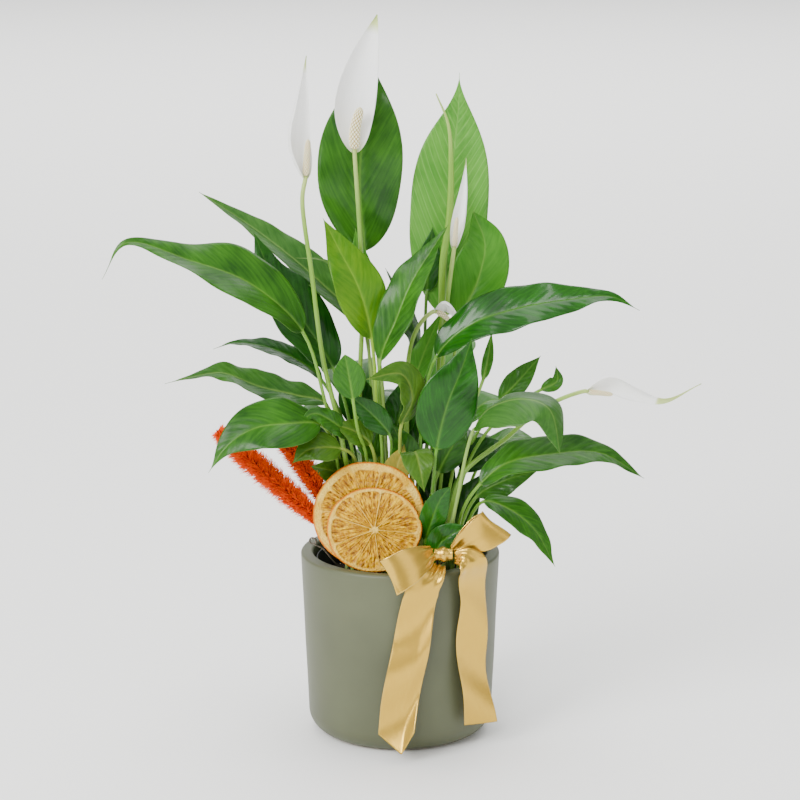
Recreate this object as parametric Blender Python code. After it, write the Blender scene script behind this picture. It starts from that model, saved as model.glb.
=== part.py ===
"""Potted peace lily in a ceramic cover pot, dressed with a bow, dried orange slices and dyed grass plumes.

Lengths are in millimetres in the tables and are turned to metres where a mesh is made. The origin is the
centre of the cover pot's flat foot, +Z is up and -Y is the front. Plant heights are above the soil.
"""
import bpy
import bmesh
import math
import numpy as np
from mathutils import Matrix, Vector

MM = 0.001
GAP = 0.3              # air between pieces that touch on the real object

# Cover pot
POT_HEIGHT = 126.0
POT_RIM_RADIUS = 67.5
POT_FOOT_RADIUS = 62.0  # where the slightly conical side would meet the table
POT_WALL = 8.5
POT_FLOOR = 9.0
POT_FOOT_CURVE = 15.0
POT_RIM_FILLET = 2.2

# Nursery pot and soil
NURSERY_RIM_DROP = 5.0  # rim of the plastic pot below the rim of the cover pot
NURSERY_WALL = 1.2
NURSERY_PLAY = 2.0      # all round, between the plastic pot and the ceramic
NURSERY_FOOT_PLAY = 5.9  # all round at its narrower foot
SOIL_DROP = 18.0        # soil surface below the rim of the cover pot
SOIL_SHOULDER = 6.0     # the surface falls away over this width at its edge
SOIL_FALL = 3.0

# Orange slices
LARGE_SLICE_RADIUS = 37.5
SMALL_SLICE_RADIUS = 32.0
SLICE_THICKNESS = 3.4
SLICE_LEAN = 12.5       # degrees back from upright
RIND_BAND = 3.2         # rind and pith together, standing proud of the pulp
PULP_SUNK = 0.6
LARGE_SLICE_SHARE = 0.97    # height over width: the slices dried a little oval
SMALL_SLICE_SHARE = 0.9
SLICE_SETBACK = 14.1    # lower edge of the rear slice, measured back from the soil's front edge
SLICE_SPACING = 5.4     # from the rear slice's lower edge to the front one's
LARGE_SLICE_LIFT = 15.5  # lower edge above the soil
SMALL_SLICE_LIFT = 14.4
SLICE_TOP_REFERENCE = 86.5  # leaves that hang over the rear slice are written for its top at this height
EYELET_CENTRE = (-58.5, 31.0)   # x, and height above the soil
EYELET_RADIUS = 2.2

# Ribbon
RIBBON_WIDTH = 25.0
RIBBON_THICKNESS = 0.8
KNOT_SIZE = (12.0, 9.0, 10.0)
KNOT_ANGLE = 27.0       # degrees round the rim from the front, to the right
KNOT_RISE = 12.0        # knot centre above the rim
TAIL_CLEARANCE = 3.5    # ribbon stands this far off the ceramic just below the rim

# Fineness of the turned pieces, and places shared by several pieces
POT_SECTORS = 48
LINER_SECTORS = 40
SLICE_SECTORS = 30
SOIL_HEIGHT = POT_HEIGHT - SOIL_DROP
NURSERY_RIM_RADIUS = POT_RIM_RADIUS - POT_WALL - NURSERY_PLAY
SOIL_RADIUS = NURSERY_RIM_RADIUS - NURSERY_WALL - GAP
SLICE_FRONT = SLICE_SETBACK - SOIL_RADIUS
SLICE_ROW = SLICE_FRONT + LARGE_SLICE_RADIUS * LARGE_SLICE_SHARE * math.sin(math.radians(SLICE_LEAN))
SLICE_TOP = LARGE_SLICE_LIFT + 2 * LARGE_SLICE_RADIUS * LARGE_SLICE_SHARE * math.cos(math.radians(SLICE_LEAN))
ROOT_REFERENCE = 55.0   # the root places below are written for soil of this radius
SPROUT = 7.0            # a stem's first, upright stretch


def material(name, hex_colour, roughness):
    """A Principled BSDF in the piece's own colour, given as sRGB hex."""
    channels = [int(hex_colour[i:i + 2], 16) / 255 for i in (0, 2, 4)]
    linear = [c / 12.92 if c <= 0.04045 else ((c + 0.055) / 1.055) ** 2.4 for c in channels]
    made = bpy.data.materials.new(name)
    made.use_nodes = True
    shader = made.node_tree.nodes["Principled BSDF"]
    shader.inputs["Base Color"].default_value = (*linear, 1.0)
    shader.inputs["Roughness"].default_value = roughness
    return made


def add_mesh(name, points, faces, finish, smooth_angle=50.0):
    """One object from points in millimetres and the faces between them."""
    mesh = bpy.data.meshes.new(name)
    mesh.from_pydata([tuple(p) for p in np.asarray(points) * MM], [], faces)
    shape = bmesh.new()
    shape.from_mesh(mesh)
    bmesh.ops.remove_doubles(shape, verts=shape.verts, dist=1e-6)
    bmesh.ops.recalc_face_normals(shape, faces=shape.faces)
    shape.to_mesh(mesh)
    shape.free()
    mesh.shade_smooth()
    mesh.set_sharp_from_angle(angle=math.radians(smooth_angle))
    mesh.materials.append(finish)
    obj = bpy.data.objects.new(name, mesh)
    bpy.context.scene.collection.objects.link(obj)
    return obj


def turned(name, profile, sectors, finish):
    """A solid of revolution about Z; profile is (radius, height) from the axis round to the axis again."""
    shape = bmesh.new()
    ring = [shape.verts.new((r * MM, 0.0, z * MM)) for r, z in profile]
    edges = [shape.edges.new(pair) for pair in zip(ring, ring[1:])]
    bmesh.ops.spin(
        shape, geom=ring + edges, cent=(0, 0, 0), axis=(0, 0, 1),
        angle=2 * math.pi, steps=sectors, use_merge=True)
    bmesh.ops.remove_doubles(shape, verts=shape.verts, dist=1e-6)
    bmesh.ops.recalc_face_normals(shape, faces=shape.faces)
    mesh = bpy.data.meshes.new(name)
    shape.to_mesh(mesh)
    shape.free()
    mesh.shade_smooth()
    mesh.set_sharp_from_angle(angle=math.radians(40))
    mesh.materials.append(finish)
    obj = bpy.data.objects.new(name, mesh)
    bpy.context.scene.collection.objects.link(obj)
    return obj


def arc(centre, radius, start, end, steps):
    """Points (r, z) along a circular arc, with angles in degrees."""
    return [
        (centre[0] + radius * math.cos(a), centre[1] + radius * math.sin(a))
        for a in np.radians(np.linspace(start, end, steps + 1))
    ]


def smooth_curve(points, per_span=16):
    """A centripetal Catmull-Rom curve, finely divided, and the point number at each division."""
    p = np.asarray(points, float)
    p = np.vstack([2 * p[0] - p[1], p, 2 * p[-1] - p[-2]])
    knots = np.concatenate([[0], np.cumsum(np.sqrt(np.linalg.norm(np.diff(p, axis=0), axis=1)))])
    t = np.linspace(0, 1, per_span, endpoint=False)[:, None]
    fine = []
    for i in range(1, len(p) - 2):
        before, span, after = np.diff(knots[i - 1:i + 3])
        rise = p[i + 1] - p[i]
        leave = rise + span * ((p[i] - p[i - 1]) / before - (p[i + 1] - p[i - 1]) / (before + span))
        arrive = rise + span * ((p[i + 2] - p[i + 1]) / after - (p[i + 2] - p[i]) / (span + after))
        fine.append(
            (2 * t**3 - 3 * t**2 + 1) * p[i] + (t**3 - 2 * t**2 + t) * leave
            + (3 * t**2 - 2 * t**3) * p[i + 1] + (t**3 - t**2) * arrive)
    number = np.linspace(0, len(points) - 1, (len(points) - 1) * per_span + 1)
    return np.vstack(fine + [p[-2:-1]]), number


def at_lengths(fine, lengths):
    """Points at the given distances along a finely divided curve."""
    along = np.concatenate([[0], np.cumsum(np.linalg.norm(np.diff(fine, axis=0), axis=1))])
    return np.stack([np.interp(lengths, along, fine[:, k]) for k in range(3)], axis=1)


def unit(v):
    return v / np.linalg.norm(v, axis=-1, keepdims=True)


def directions(fine, lengths):
    """The curve's direction at the given distances along it."""
    step = 0.5
    return unit(at_lengths(fine, lengths + step) - at_lengths(fine, lengths - step))


def frames(tangent, face, start):
    """Sideways and upper-side directions along a curve; at station start the upper side faces face."""
    upper = np.zeros_like(tangent)
    upper[start] = unit(face - (face @ tangent[start]) * tangent[start])
    for order in (range(start + 1, len(tangent)), range(start - 1, -1, -1)):
        last = upper[start]
        for i in order:
            last = unit(last - (last @ tangent[i]) * tangent[i])
            upper[i] = last
    return np.cross(tangent, upper), upper


def loft(name, rings, finish):
    """A closed skin over rings of equal point count, with a flat cap at each end."""
    count = len(rings[0])
    faces = [tuple(range(count))[::-1], tuple(range((len(rings) - 1) * count, len(rings) * count))]
    for i in range(len(rings) - 1):
        for j in range(count):
            k = (j + 1) % count
            faces.append((i * count + j, i * count + k, (i + 1) * count + k, (i + 1) * count + j))
    return add_mesh(name, np.vstack(rings), faces, finish)


def rod(name, points, radii, sides, stations, finish):
    """A round rod along a smooth curve, its radius easing through the given values from end to end."""
    fine, _ = smooth_curve(points)
    total = np.linalg.norm(np.diff(fine, axis=0), axis=1).sum()
    lengths = np.linspace(0, total, stations)
    centres = at_lengths(fine, lengths)
    side, upper = frames(directions(fine, lengths), np.array([0.31, -0.93, 0.2]), stations // 2)
    radius = np.interp(lengths / total, np.linspace(0, 1, len(radii)), radii)
    turn = np.linspace(0, 2 * math.pi, sides, endpoint=False)
    rings = [
        centres[i] + radius[i] * (np.cos(turn)[:, None] * side[i] + np.sin(turn)[:, None] * upper[i])
        for i in range(stations)
    ]
    return loft(name, rings, finish)


def blade_shape(t, widest):
    """Half width of a lance-shaped blade as a share of its widest, from base (0) to drip tip (1)."""
    rise = np.sqrt(np.clip(1 - (1 - t / widest) ** 2, 0, 1))
    fall = 1 - np.clip((t - widest) / (1 - widest), 0, 1) ** 1.7
    return np.where(t < widest, rise**1.2, fall**1.15)


BLADE_EDGE = 0.7        # thickness at the margin
STEM_RADIUS = 1.6       # leaf stem
STEM_STATIONS = 5
BLADE_STATIONS = 10


def blade(name, points, neck, half_width, face, fold, finish, widest=0.4, stem_radius=STEM_RADIUS):
    """A leaf or spathe: a round stem up to point number neck, then a folded blade to the last point.

    Each ring has six points: two on each margin, one on top of the midrib and one under it.
    """
    fine, number = smooth_curve(points)
    along = np.concatenate([[0], np.cumsum(np.linalg.norm(np.diff(fine, axis=0), axis=1))])
    total = along[-1]
    blade_start = np.interp(neck, number, along)
    blade_lengths = np.linspace(blade_start, total, BLADE_STATIONS)
    stem_lengths = np.linspace(0, blade_start, STEM_STATIONS + 1)[:-1] if neck else np.zeros(0)
    lengths = np.concatenate([stem_lengths, blade_lengths])
    centres = at_lengths(fine, lengths)
    middle = len(stem_lengths) + BLADE_STATIONS // 2
    side, upper = frames(directions(fine, lengths), np.array(face, float), middle)
    t = np.clip((lengths - blade_start) / (total - blade_start), 0, 1)
    round_radius = stem_radius * (1 - 0.7 * t)
    spread = half_width * blade_shape(t, widest)
    flat = np.clip(spread / (3 * stem_radius), 0, 1)
    half = np.hypot(spread, 0.87 * round_radius)
    edge = (1 - flat) * round_radius + flat * BLADE_EDGE
    rise = flat * math.sin(math.radians(fold))
    across = 1 - flat * (1 - math.cos(math.radians(fold)))
    top = (1 - flat) * round_radius + flat * 0.5 * BLADE_EDGE
    rings = []
    for i in range(len(lengths)):
        w = half[i] * across[i]
        up = half[i] * rise[i]
        ring = [
            (-w, up + edge[i] / 2), (0, top[i]), (w, up + edge[i] / 2),
            (w, up - edge[i] / 2), (0, -round_radius[i]), (-w, up - edge[i] / 2),
        ]
        rings.append(np.array([centres[i] + a * side[i] + b * upper[i] for a, b in ring]))
    return loft(name, rings, finish)


def above_soil(points):
    """Points whose heights are above the soil, as points above the table."""
    return [(x, y, z + SOIL_HEIGHT) for x, y, z in points]


def root_place(root):
    """Where a stem meets the soil; the crown spreads with the pot that it fills."""
    spread = SOIL_RADIUS / ROOT_REFERENCE
    return (root[0] * spread, root[1] * spread, SOIL_HEIGHT + GAP)


def planted(root, points):
    """A growing piece's points: straight up out of the soil at its root, then through the given points."""
    base = root_place(root)
    return [base, (base[0], base[1], base[2] + SPROUT)] + above_soil(points)


for old in list(bpy.data.objects):
    bpy.data.objects.remove(old, do_unlink=True)

ceramic = material("sage_ceramic", "8c917c", 0.55)
plastic = material("black_plastic", "16171a", 0.45)
earth = material("potting_soil", "3a2c22", 0.95)
leaf_dark = material("leaf_dark", "2c6a26", 0.35)
leaf_light = material("leaf_light", "5f9440", 0.45)
stalk_green = material("stalk_green", "a3bf5c", 0.5)
spathe_white = material("spathe_white", "f1f2ec", 0.5)
spadix_cream = material("spadix_cream", "efe6c4", 0.7)
orange_pulp = material("dried_orange", "e79a1f", 0.5)
plume_orange = material("dyed_plume", "e04a10", 0.9)
satin = material("gold_satin", "d9b878", 0.35)
wire = material("florist_wire", "6b6252", 0.4)


# Cover pot: one thick ceramic wall with a rounded foot, open at the top
def wall_radius(z):
    """Outer radius of the conical side at height z."""
    return POT_FOOT_RADIUS + (POT_RIM_RADIUS - POT_FOOT_RADIUS) * z / POT_HEIGHT


def cover_pot():
    foot_centre = (wall_radius(POT_FOOT_CURVE) - POT_FOOT_CURVE, POT_FOOT_CURVE)
    rim = POT_HEIGHT - POT_RIM_FILLET
    rim_outer = (wall_radius(rim) - POT_RIM_FILLET, rim)
    rim_inner = (wall_radius(rim) - POT_WALL + POT_RIM_FILLET, rim)
    inner_foot = 6.0
    inner_centre = (wall_radius(POT_FLOOR + inner_foot) - POT_WALL - inner_foot, POT_FLOOR + inner_foot)
    profile = [(0, 0)]
    profile += arc(foot_centre, POT_FOOT_CURVE, -90, 0, 6)
    profile += arc(rim_outer, POT_RIM_FILLET, 0, 90, 3)
    profile += arc(rim_inner, POT_RIM_FILLET, 90, 180, 3)
    profile += arc(inner_centre, inner_foot, 0, -90, 3)
    profile += [(0, POT_FLOOR)]
    return turned("cover_pot", profile, POT_SECTORS, ceramic)


# Nursery pot: a thin black plastic pot that stands inside, its rim just under the ceramic one
def nursery_profile_radius(z):
    """Outer radius of the plastic pot at height z."""
    rim = POT_HEIGHT - NURSERY_RIM_DROP
    base = POT_FLOOR + GAP
    foot_radius = wall_radius(base) - POT_WALL - NURSERY_FOOT_PLAY
    return foot_radius + (NURSERY_RIM_RADIUS - foot_radius) * (z - base) / (rim - base)


def nursery_pot():
    base = POT_FLOOR + GAP
    rim = POT_HEIGHT - NURSERY_RIM_DROP
    foot = nursery_profile_radius(base)
    profile = [
        (0, base), (foot, base), (NURSERY_RIM_RADIUS, rim),
        (NURSERY_RIM_RADIUS - NURSERY_WALL, rim), (foot - NURSERY_WALL, base + NURSERY_WALL),
        (0, base + NURSERY_WALL),
    ]
    return turned("nursery_pot", profile, LINER_SECTORS, plastic)


def soil():
    low = POT_FLOOR + GAP + NURSERY_WALL + GAP
    slack = NURSERY_WALL + 2 * GAP
    profile = [
        (0, low), (nursery_profile_radius(low) - slack, low),
        (nursery_profile_radius(SOIL_HEIGHT - SOIL_FALL) - slack, SOIL_HEIGHT - SOIL_FALL),
        (SOIL_RADIUS - SOIL_SHOULDER, SOIL_HEIGHT), (0, SOIL_HEIGHT),
    ]
    return turned("soil", profile, LINER_SECTORS, earth)


cover_pot()
nursery_pot()
soil()

# Leaves: name, root in the soil, points above it (stem, neck, blade, tip), which point is the neck,
# half width, the way the upper side faces, and the fold of each half in degrees
LEAVES = [
    ("leaf_left_long", (-28, 0), [(-36, -6, 60), (-49, -27, 124), (-64, -36, 176), (-97, -44, 209),
     (-136, -52, 226), (-177, -58, 238), (-192, -60, 215)], 3, 24, (0.1, -0.55, 0.8), 18, leaf_dark),
    ("leaf_left_narrow", (-8, 6), [(-10, 10, 98), (-19, 12, 162), (-54, 20, 199), (-94, 32, 230),
     (-136, 40, 257)], 2, 14, (0.1, -0.3, 0.9), 35, leaf_light),
    ("leaf_left_shaded", (-23, 5), [(-33, 0, 102), (-45, -2, 144), (-67, 0, 180), (-86, 4, 208),
     (-98, 8, 235)], 2, 19, (0.3, -0.8, 0.5), 15, leaf_dark),
    ("leaf_tall_left", (-12, 14), [(-18, 28, 102), (-23, 32, 180), (-24, 32, 218), (-27, 26, 268),
     (-23, 27, 314), (-18, 32, 343)], 3, 28, (0, -1, 0.1), 12, leaf_dark),
    ("leaf_lime", (-12, -2), [(-15, -4, 102), (-19, -6, 165), (-27, -9, 199), (-40, -8, 225),
     (-51, -4, 246)], 2, 17, (0.2, -0.95, 0.2), 15, leaf_light),
    ("leaf_diagonal", (-5, -8), [(-12, -16, 90), (-13, -24, 154), (-3, -22, 180), (8, -18, 206),
     (21, -12, 226), (32, -6, 242)], 2, 15, (-0.5, -0.8, 0.3), 25, leaf_dark),
    ("leaf_edge_on", (10, 16), [(19, 15, 105), (16, 16, 138), (10, 18, 166), (1, 20, 188),
     (-10, 22, 208)], 2, 10, (-0.8, -0.5, 0.1), 20, leaf_dark),
    ("leaf_left_thin", (-32, 10), [(-37, 6, 100), (-53, 8, 134), (-68, 12, 146), (-92, 18, 155),
     (-114, 24, 156), (-127, 28, 151)], 2, 14, (0, -0.4, 0.9), 20, leaf_dark),
    ("leaf_left_low", (-37, 1), [(-43, -6, 70), (-49, -15, 122), (-69, -22, 130), (-94, -26, 137),
     (-117, -31, 147), (-138, -35, 145), (-155, -37, 141)], 2, 15, (0, -0.6, 0.8), 20, leaf_dark),
    ("leaf_left_drooping", (-33, -8), [(-39, -11, 60), (-45, -23, 98), (-53, -38, 114), (-72, -53, 118),
     (-95, -59, 116), (-112, -63, 106), (-125, -66, 88)], 3, 19, (-0.1, -0.8, 0.6), 12, leaf_light),
    ("leaf_young_round", (-16, -9), [(-19, -12, 60), (-23, -19, 90), (-28, -36, 110), (-31, -46, 133),
     (-33, -47, 146), (-36, -48, 163)], 4, 11, (0, -1, 0.1), 15, leaf_light),
    ("leaf_olive_arching", (1, -14), [(1, -17, 60), (0, -23, 85), (0, -33, 99), (1, -46, 116), (8, -50, 134),
     (1, -54, 151), (-22, -60, 149)], 4, 12, (0.6, -0.7, 0.3), 15, leaf_light),
    ("leaf_front_glossy", (18, -22), [(22, -36, 70), (24, -43, 98), (31, -47, 129), (40, -46, 152),
     (47, -44, 173)], 2, 19, (0.1, -1, 0.15), 12, leaf_dark),
    ("leaf_right_long", (10, -8), [(15, -14, 111), (24, -18, 155), (46, -20, 177), (79, -22, 189),
     (112, -24, 195), (139, -25, 197), (158, -26, 188)], 2, 17, (0, -0.75, 0.65), 15, leaf_dark),
    ("leaf_tall_right", (20, 22), [(27, 28, 96), (31, 35, 173), (32, 37, 226), (35, 39, 273),
     (39, 43, 310), (40, 46, 337)], 2, 25, (0.1, -1, 0.1), 12, leaf_light),
    ("leaf_bright", (24, 8), [(32, 12, 106), (41, 16, 173), (53, 19, 202), (57, 20, 225),
     (49, 20, 247)], 2, 19, (0, -1, 0.2), 10, leaf_light),
    ("leaf_right_back_small", (34, 12), [(47, 14, 84), (68, 20, 117), (79, 24, 128),
     (96, 30, 146)], 2, 10, (0, -0.9, 0.4), 15, leaf_dark),
    ("leaf_front_arching", (28, -26), [(33, -35, 35), (38, -46, 66), (48, -62, 116), (58, -66, 131),
     (80, -74, 139), (96, -82, 134), (103, -90, 106)], 3, 21, (0.1, -0.2, 0.95), -12, leaf_light),
    ("leaf_right_low", (36, -22), [(42, -36, 55), (53, -38, 73), (71, -36, 87), (99, -32, 92),
     (133, -28, 92), (163, -26, 74)], 2, 15, (0, -0.6, 0.8), 15, leaf_light),
    ("leaf_right_short", (36, -2), [(42, -3, 36), (52, -4, 56), (68, -5, 66),
     (94, -6, 75)], 2, 11, (0, -0.8, 0.6), 10, leaf_dark),
    ("leaf_right_hanging", (40, -14), [(46, -18, 42), (56, -22, 57), (73, -26, 53), (90, -28, 39),
     (104, -30, 14)], 2, 11, (0.4, -0.6, 0.7), 10, leaf_light),
    ("leaf_olive_centre", (9, -19), [(9, -22, 66), (7, -32, 90), (10, -42, 96), (13, -50, 87),
     (16, -55, 72)], 2, 11, (0.1, -0.7, 0.6), 10, leaf_light),
    ("leaf_olive_left", (-22, -10), [(-26, -13, 62), (-31, -21, 88), (-39, -33, 96), (-50, -41, 99),
     (-61, -46, 98), (-71, -49, 90)], 3, 11, (-0.2, -0.8, 0.5), 10, leaf_light),
    ("leaf_front_lance", (-7, -14), [(-7, -17, 70), (-6, -21, 88), (-7, -31, 105), (-18, -33, 119),
     (-36, -35, 135)], 3, 9, (-0.3, -0.9, 0.3), 15, leaf_dark),
    ("leaf_pale_lance", (4, 2), [(5, 3, 88), (6, 4, 120), (15, 4, 150), (28, 5, 182)],
     2, 9, (-0.6, -0.8, 0.1), 20, leaf_light),
    ("leaf_back_left", (-18, 26), [(-22, 38, 70), (-28, 50, 105), (-36, 75, 128), (-42, 105, 122),
     (-46, 135, 100)], 2, 20, (0, -0.3, 0.95), 14, leaf_dark),
    ("leaf_back_middle", (-3, 26), [(-2, 38, 60), (2, 52, 85), (6, 80, 105), (10, 112, 100),
     (12, 140, 78)], 2, 19, (0, -0.2, 0.95), 14, leaf_dark),
    ("leaf_back_right", (11, 30), [(18, 44, 72), (24, 58, 112), (32, 84, 138), (40, 112, 138),
     (46, 138, 120)], 2, 20, (0, -0.3, 0.95), 14, leaf_light),
    ("leaf_back_low", (30, 24), [(38, 36, 50), (45, 50, 72), (50, 74, 82), (54, 98, 72),
     (56, 118, 50)], 2, 16, (0.2, -0.2, 0.95), 12, leaf_dark),
]

# What leans forward over the rear slice rises with that slice's top edge
OVER_SLICES = (
    "leaf_olive_left", "leaf_front_lance", "leaf_young_round", "leaf_olive_arching", "leaf_left_drooping",
    "narrow",
)


def lifted(name, points):
    """The points of a leaf or flower, raised with the rear slice if it leans over it."""
    lift = SLICE_TOP - SLICE_TOP_REFERENCE if name in OVER_SLICES else 0.0
    return [(x, y, z + lift) for x, y, z in points]


for name, root, points, neck, half_width, face, fold, finish in LEAVES:
    blade(name, planted(root, lifted(name, points)), neck + 1, half_width, face, fold, finish)

# Rolled new leaf: still a tight green spike
rod("leaf_furled", planted((14, 14), [(24, 20, 105), (28, 25, 171), (29, 26, 213), (33, 27, 240),
    (34, 28, 281), (32, 28, 305), (24, 27, 325)]), (1.6, 1.7, 1.8, 2.4, 2.2, 0.5), 6, 15, leaf_light)

# Flowers: a stalk, the white hood (spathe) behind, and the bumpy spadix that it shelters
FLOWERS = [
    {"name": "open", "root": (-16, 6), "stalk": [(-27, 4, 107), (-25, 4, 189), (-26, 4, 222), (-30, 2, 289)],
     "spathe": [(-31, 5.5, 290), (-32, 9, 316), (-25, 12, 349), (-15, 8, 379)], "half_width": 14,
     "face": (0.15, -1, 0), "fold": 20, "spadix": [(-30, 1.9, 291), (-29.5, 0.5, 305), (-26, -1, 319)],
     "spadix_radius": 4.2, "widest": 0.38},
    {"name": "narrow", "root": (-26, -5), "stalk": [(-31, -10, 50), (-41, -26, 112), (-51, -26, 156),
     (-58, -22, 211), (-64, -20, 261), (-62, -18, 274)], "spathe": [(-65.5, -16, 275), (-70, -12, 298),
     (-66, -11, 325), (-61, -12, 354)], "half_width": 11, "face": (0.8, -0.6, 0), "fold": 48,
     "spadix": [(-61.8, -18, 276), (-61, -17.5, 288), (-60, -17, 300)], "spadix_radius": 2.6, "widest": 0.3},
    {"name": "slim", "root": (18, 2), "stalk": [(27, 3, 109), (30, 7, 170), (36, 7, 223)],
     "spathe": [(36.5, 10.6, 224), (40, 13, 240), (43, 13, 263), (44, 10, 284)], "half_width": 8,
     "face": (-0.3, -0.95, 0), "fold": 45, "spadix": [(36.3, 7, 225), (37, 6.5, 235), (38, 6.5, 245)],
     "spadix_radius": 2.0, "widest": 0.32},
    {"name": "nodding", "root": (0, -6), "stalk": [(2, -8, 70), (4, -6, 104), (5, -5, 145), (9, -4, 166),
     (16, -3, 178), (23, -2, 183)], "spathe": [(24, -1.5, 187), (30, -2, 189), (36, -3, 184),
     (40, -4, 174)], "half_width": 6, "face": (-0.3, -0.5, -0.8), "fold": 20,
     "spadix": [(24.6, -2.5, 182.6), (29, -3, 180.5), (33, -3.5, 177)], "spadix_radius": 2.3, "widest": 0.4},
    {"name": "reaching", "root": (29, -18), "stalk": [(35, -22, 54), (43, -18, 76), (71, -12, 98),
     (89, -8, 113), (107, -4, 123), (125, 0, 128)], "spathe": [(126, 0.5, 131.5), (141, 3, 134),
     (159, 3, 127), (178, 4, 121), (203, 5, 132)], "half_width": 7.5, "face": (0.1, -0.75, -0.65),
     "fold": 30, "spadix": [(126.6, -0.3, 127.6), (134, -1.5, 127), (143, -2, 126)],
     "spadix_radius": 2.2, "widest": 0.25},
]

for flower in FLOWERS:
    label = flower["name"]
    stalk = planted(flower["root"], lifted(label, flower["stalk"]))
    rod(f"flower_stalk_{label}", stalk, (1.9, 1.6, 1.4), 6, 13, stalk_green)
    hood = above_soil(lifted(label, flower["spathe"]))
    blade(f"spathe_{label}", hood, 0, flower["half_width"], flower["face"], flower["fold"], spathe_white,
          widest=flower["widest"], stem_radius=0.8)
    thick = flower["spadix_radius"]
    radii = [thick * share for share in (0.5, 1.0, 1.0, 0.9, 0.35)]
    rod(f"spadix_{label}", above_soil(lifted(label, flower["spadix"])), radii, 8, 7, spadix_cream)


# Dried orange slices: a rind ring standing proud of the shrunken pulp on both faces
def orange_slice(name, radius, height_share, x, front, lift):
    """A leaning slice whose lower edge stands at depth front and height lift above the soil."""
    lean = math.radians(SLICE_LEAN)
    reach = radius * height_share
    place = (x, front + reach * math.sin(lean), SOIL_HEIGHT + lift + reach * math.cos(lean))
    half = SLICE_THICKNESS / 2
    pith = radius - RIND_BAND
    pulp = half - PULP_SUNK
    bank = 2 * PULP_SUNK
    edge = 0.3 * SLICE_THICKNESS
    top = [(0, pulp), (pith - bank, pulp), (pith, half), (radius - edge, half), (radius, half - edge)]
    profile = top + [(r, -z) for r, z in reversed(top)]
    made = turned(name, profile, SLICE_SECTORS, orange_pulp)
    made.data.transform(Matrix.Diagonal((1, height_share, 1, 1)))
    made.rotation_euler = (math.pi / 2 - lean, 0, 0)
    made.location = Vector(place) * MM
    return made


orange_slice("orange_slice_large", LARGE_SLICE_RADIUS, LARGE_SLICE_SHARE, -21.0, SLICE_FRONT,
             LARGE_SLICE_LIFT)
orange_slice("orange_slice_small", SMALL_SLICE_RADIUS, SMALL_SLICE_SHARE, -17.0, SLICE_FRONT - SLICE_SPACING,
             SMALL_SLICE_LIFT)

# Florist wire that holds the slices: from the soil up behind them, with an eyelet at the left
eyelet = [
    (EYELET_CENTRE[0] + EYELET_RADIUS * math.cos(a), SLICE_ROW + 6.0 + EYELET_RADIUS * a / (2 * math.pi),
     EYELET_CENTRE[1] + EYELET_RADIUS * math.sin(a))
    for a in np.radians(np.arange(-60, 420, 40))
]
rod("slice_wire", planted((-36, -20), [(-44, SLICE_ROW + 7, 16), (-52, SLICE_ROW + 6, 26)] + eyelet),
    (0.6, 0.6), 5, 34, wire)
rod("slice_pick", planted((-19, -30), [(-19, SLICE_ROW - 1.5, 20), (-19, SLICE_ROW + 3.5, 42)]),
    (1.0, 1.0), 6, 5, wire)


# Dyed grass plumes: a bare stem that swells into a long soft brush
def plume(name, root, tip, bare, thickness):
    stem = 1.0
    start = Vector(root_place(root)) + Vector((0, 0, stem))
    end = Vector((tip[0], tip[1], tip[2] + SOIL_HEIGHT))
    length = (end - start).length
    brush = length - bare
    profile = [(0, 0), (stem, 0), (stem, bare)]
    profile += [(thickness * k, bare + brush * t) for t, k in
                ((0.08, 0.6), (0.25, 0.95), (0.6, 1.0), (0.85, 0.85), (0.97, 0.5))]
    profile += [(0, length)]
    made = turned(name, profile, 10, plume_orange)
    made.rotation_euler = (end - start).to_track_quat("Z", "Y").to_euler()
    made.location = start * MM
    return made


plume("plume_long", (-6, -26), (-124, -20, 107), 62.0, 7.0)
plume("plume_short", (-14, -20), (-86, -16, 113), 62.0, 6.5)


# Ribbon bow: a pinched knot over the rim, two loops and two tails
def round_pot(angle, radius, z):
    """A point at an angle in degrees round the pot from the front, to the right."""
    turn = math.radians(angle)
    return np.array([radius * math.sin(turn), -radius * math.cos(turn), z])


def strip(name, centres, across, widths, stations, finish):
    """A flat ribbon along a smooth curve; across is its width direction at each of the curve's points."""
    fine, number = smooth_curve(centres)
    along = np.concatenate([[0], np.cumsum(np.linalg.norm(np.diff(fine, axis=0), axis=1))])
    lengths = np.linspace(0, along[-1], stations)
    middle = at_lengths(fine, lengths)
    index = np.interp(lengths, along, number)
    spread = np.stack([np.interp(index, range(len(across)), [a[k] for a in across]) for k in range(3)], 1)
    tangent = directions(fine, lengths)
    spread = unit(spread - np.sum(spread * tangent, 1, keepdims=True) * tangent)
    normal = np.cross(tangent, spread)
    half = np.interp(index, range(len(widths)), widths)[:, None] / 2
    thick = RIBBON_THICKNESS / 2
    signs = ((-1, 1), (1, 1), (1, -1), (-1, -1))
    corners = [middle + s * half * spread + n * thick * normal for s, n in signs]
    return loft(name, [np.array([c[i] for c in corners]) for i in range(stations)], finish)


KNOT = round_pot(KNOT_ANGLE, POT_RIM_RADIUS - POT_WALL / 2, POT_HEIGHT + KNOT_RISE)


def bow_knot():
    shape = bmesh.new()
    bmesh.ops.create_cube(shape, size=1.0)
    bmesh.ops.scale(shape, vec=Vector(KNOT_SIZE) * MM, verts=shape.verts)
    bmesh.ops.bevel(shape, geom=shape.edges[:], offset=2.6 * MM, segments=2, affect="EDGES", profile=0.5)
    mesh = bpy.data.meshes.new("bow_knot")
    shape.to_mesh(mesh)
    shape.free()
    mesh.shade_smooth()
    mesh.materials.append(satin)
    obj = bpy.data.objects.new("bow_knot", mesh)
    bpy.context.scene.collection.objects.link(obj)
    obj.location = Vector(KNOT) * MM
    return obj


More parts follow.
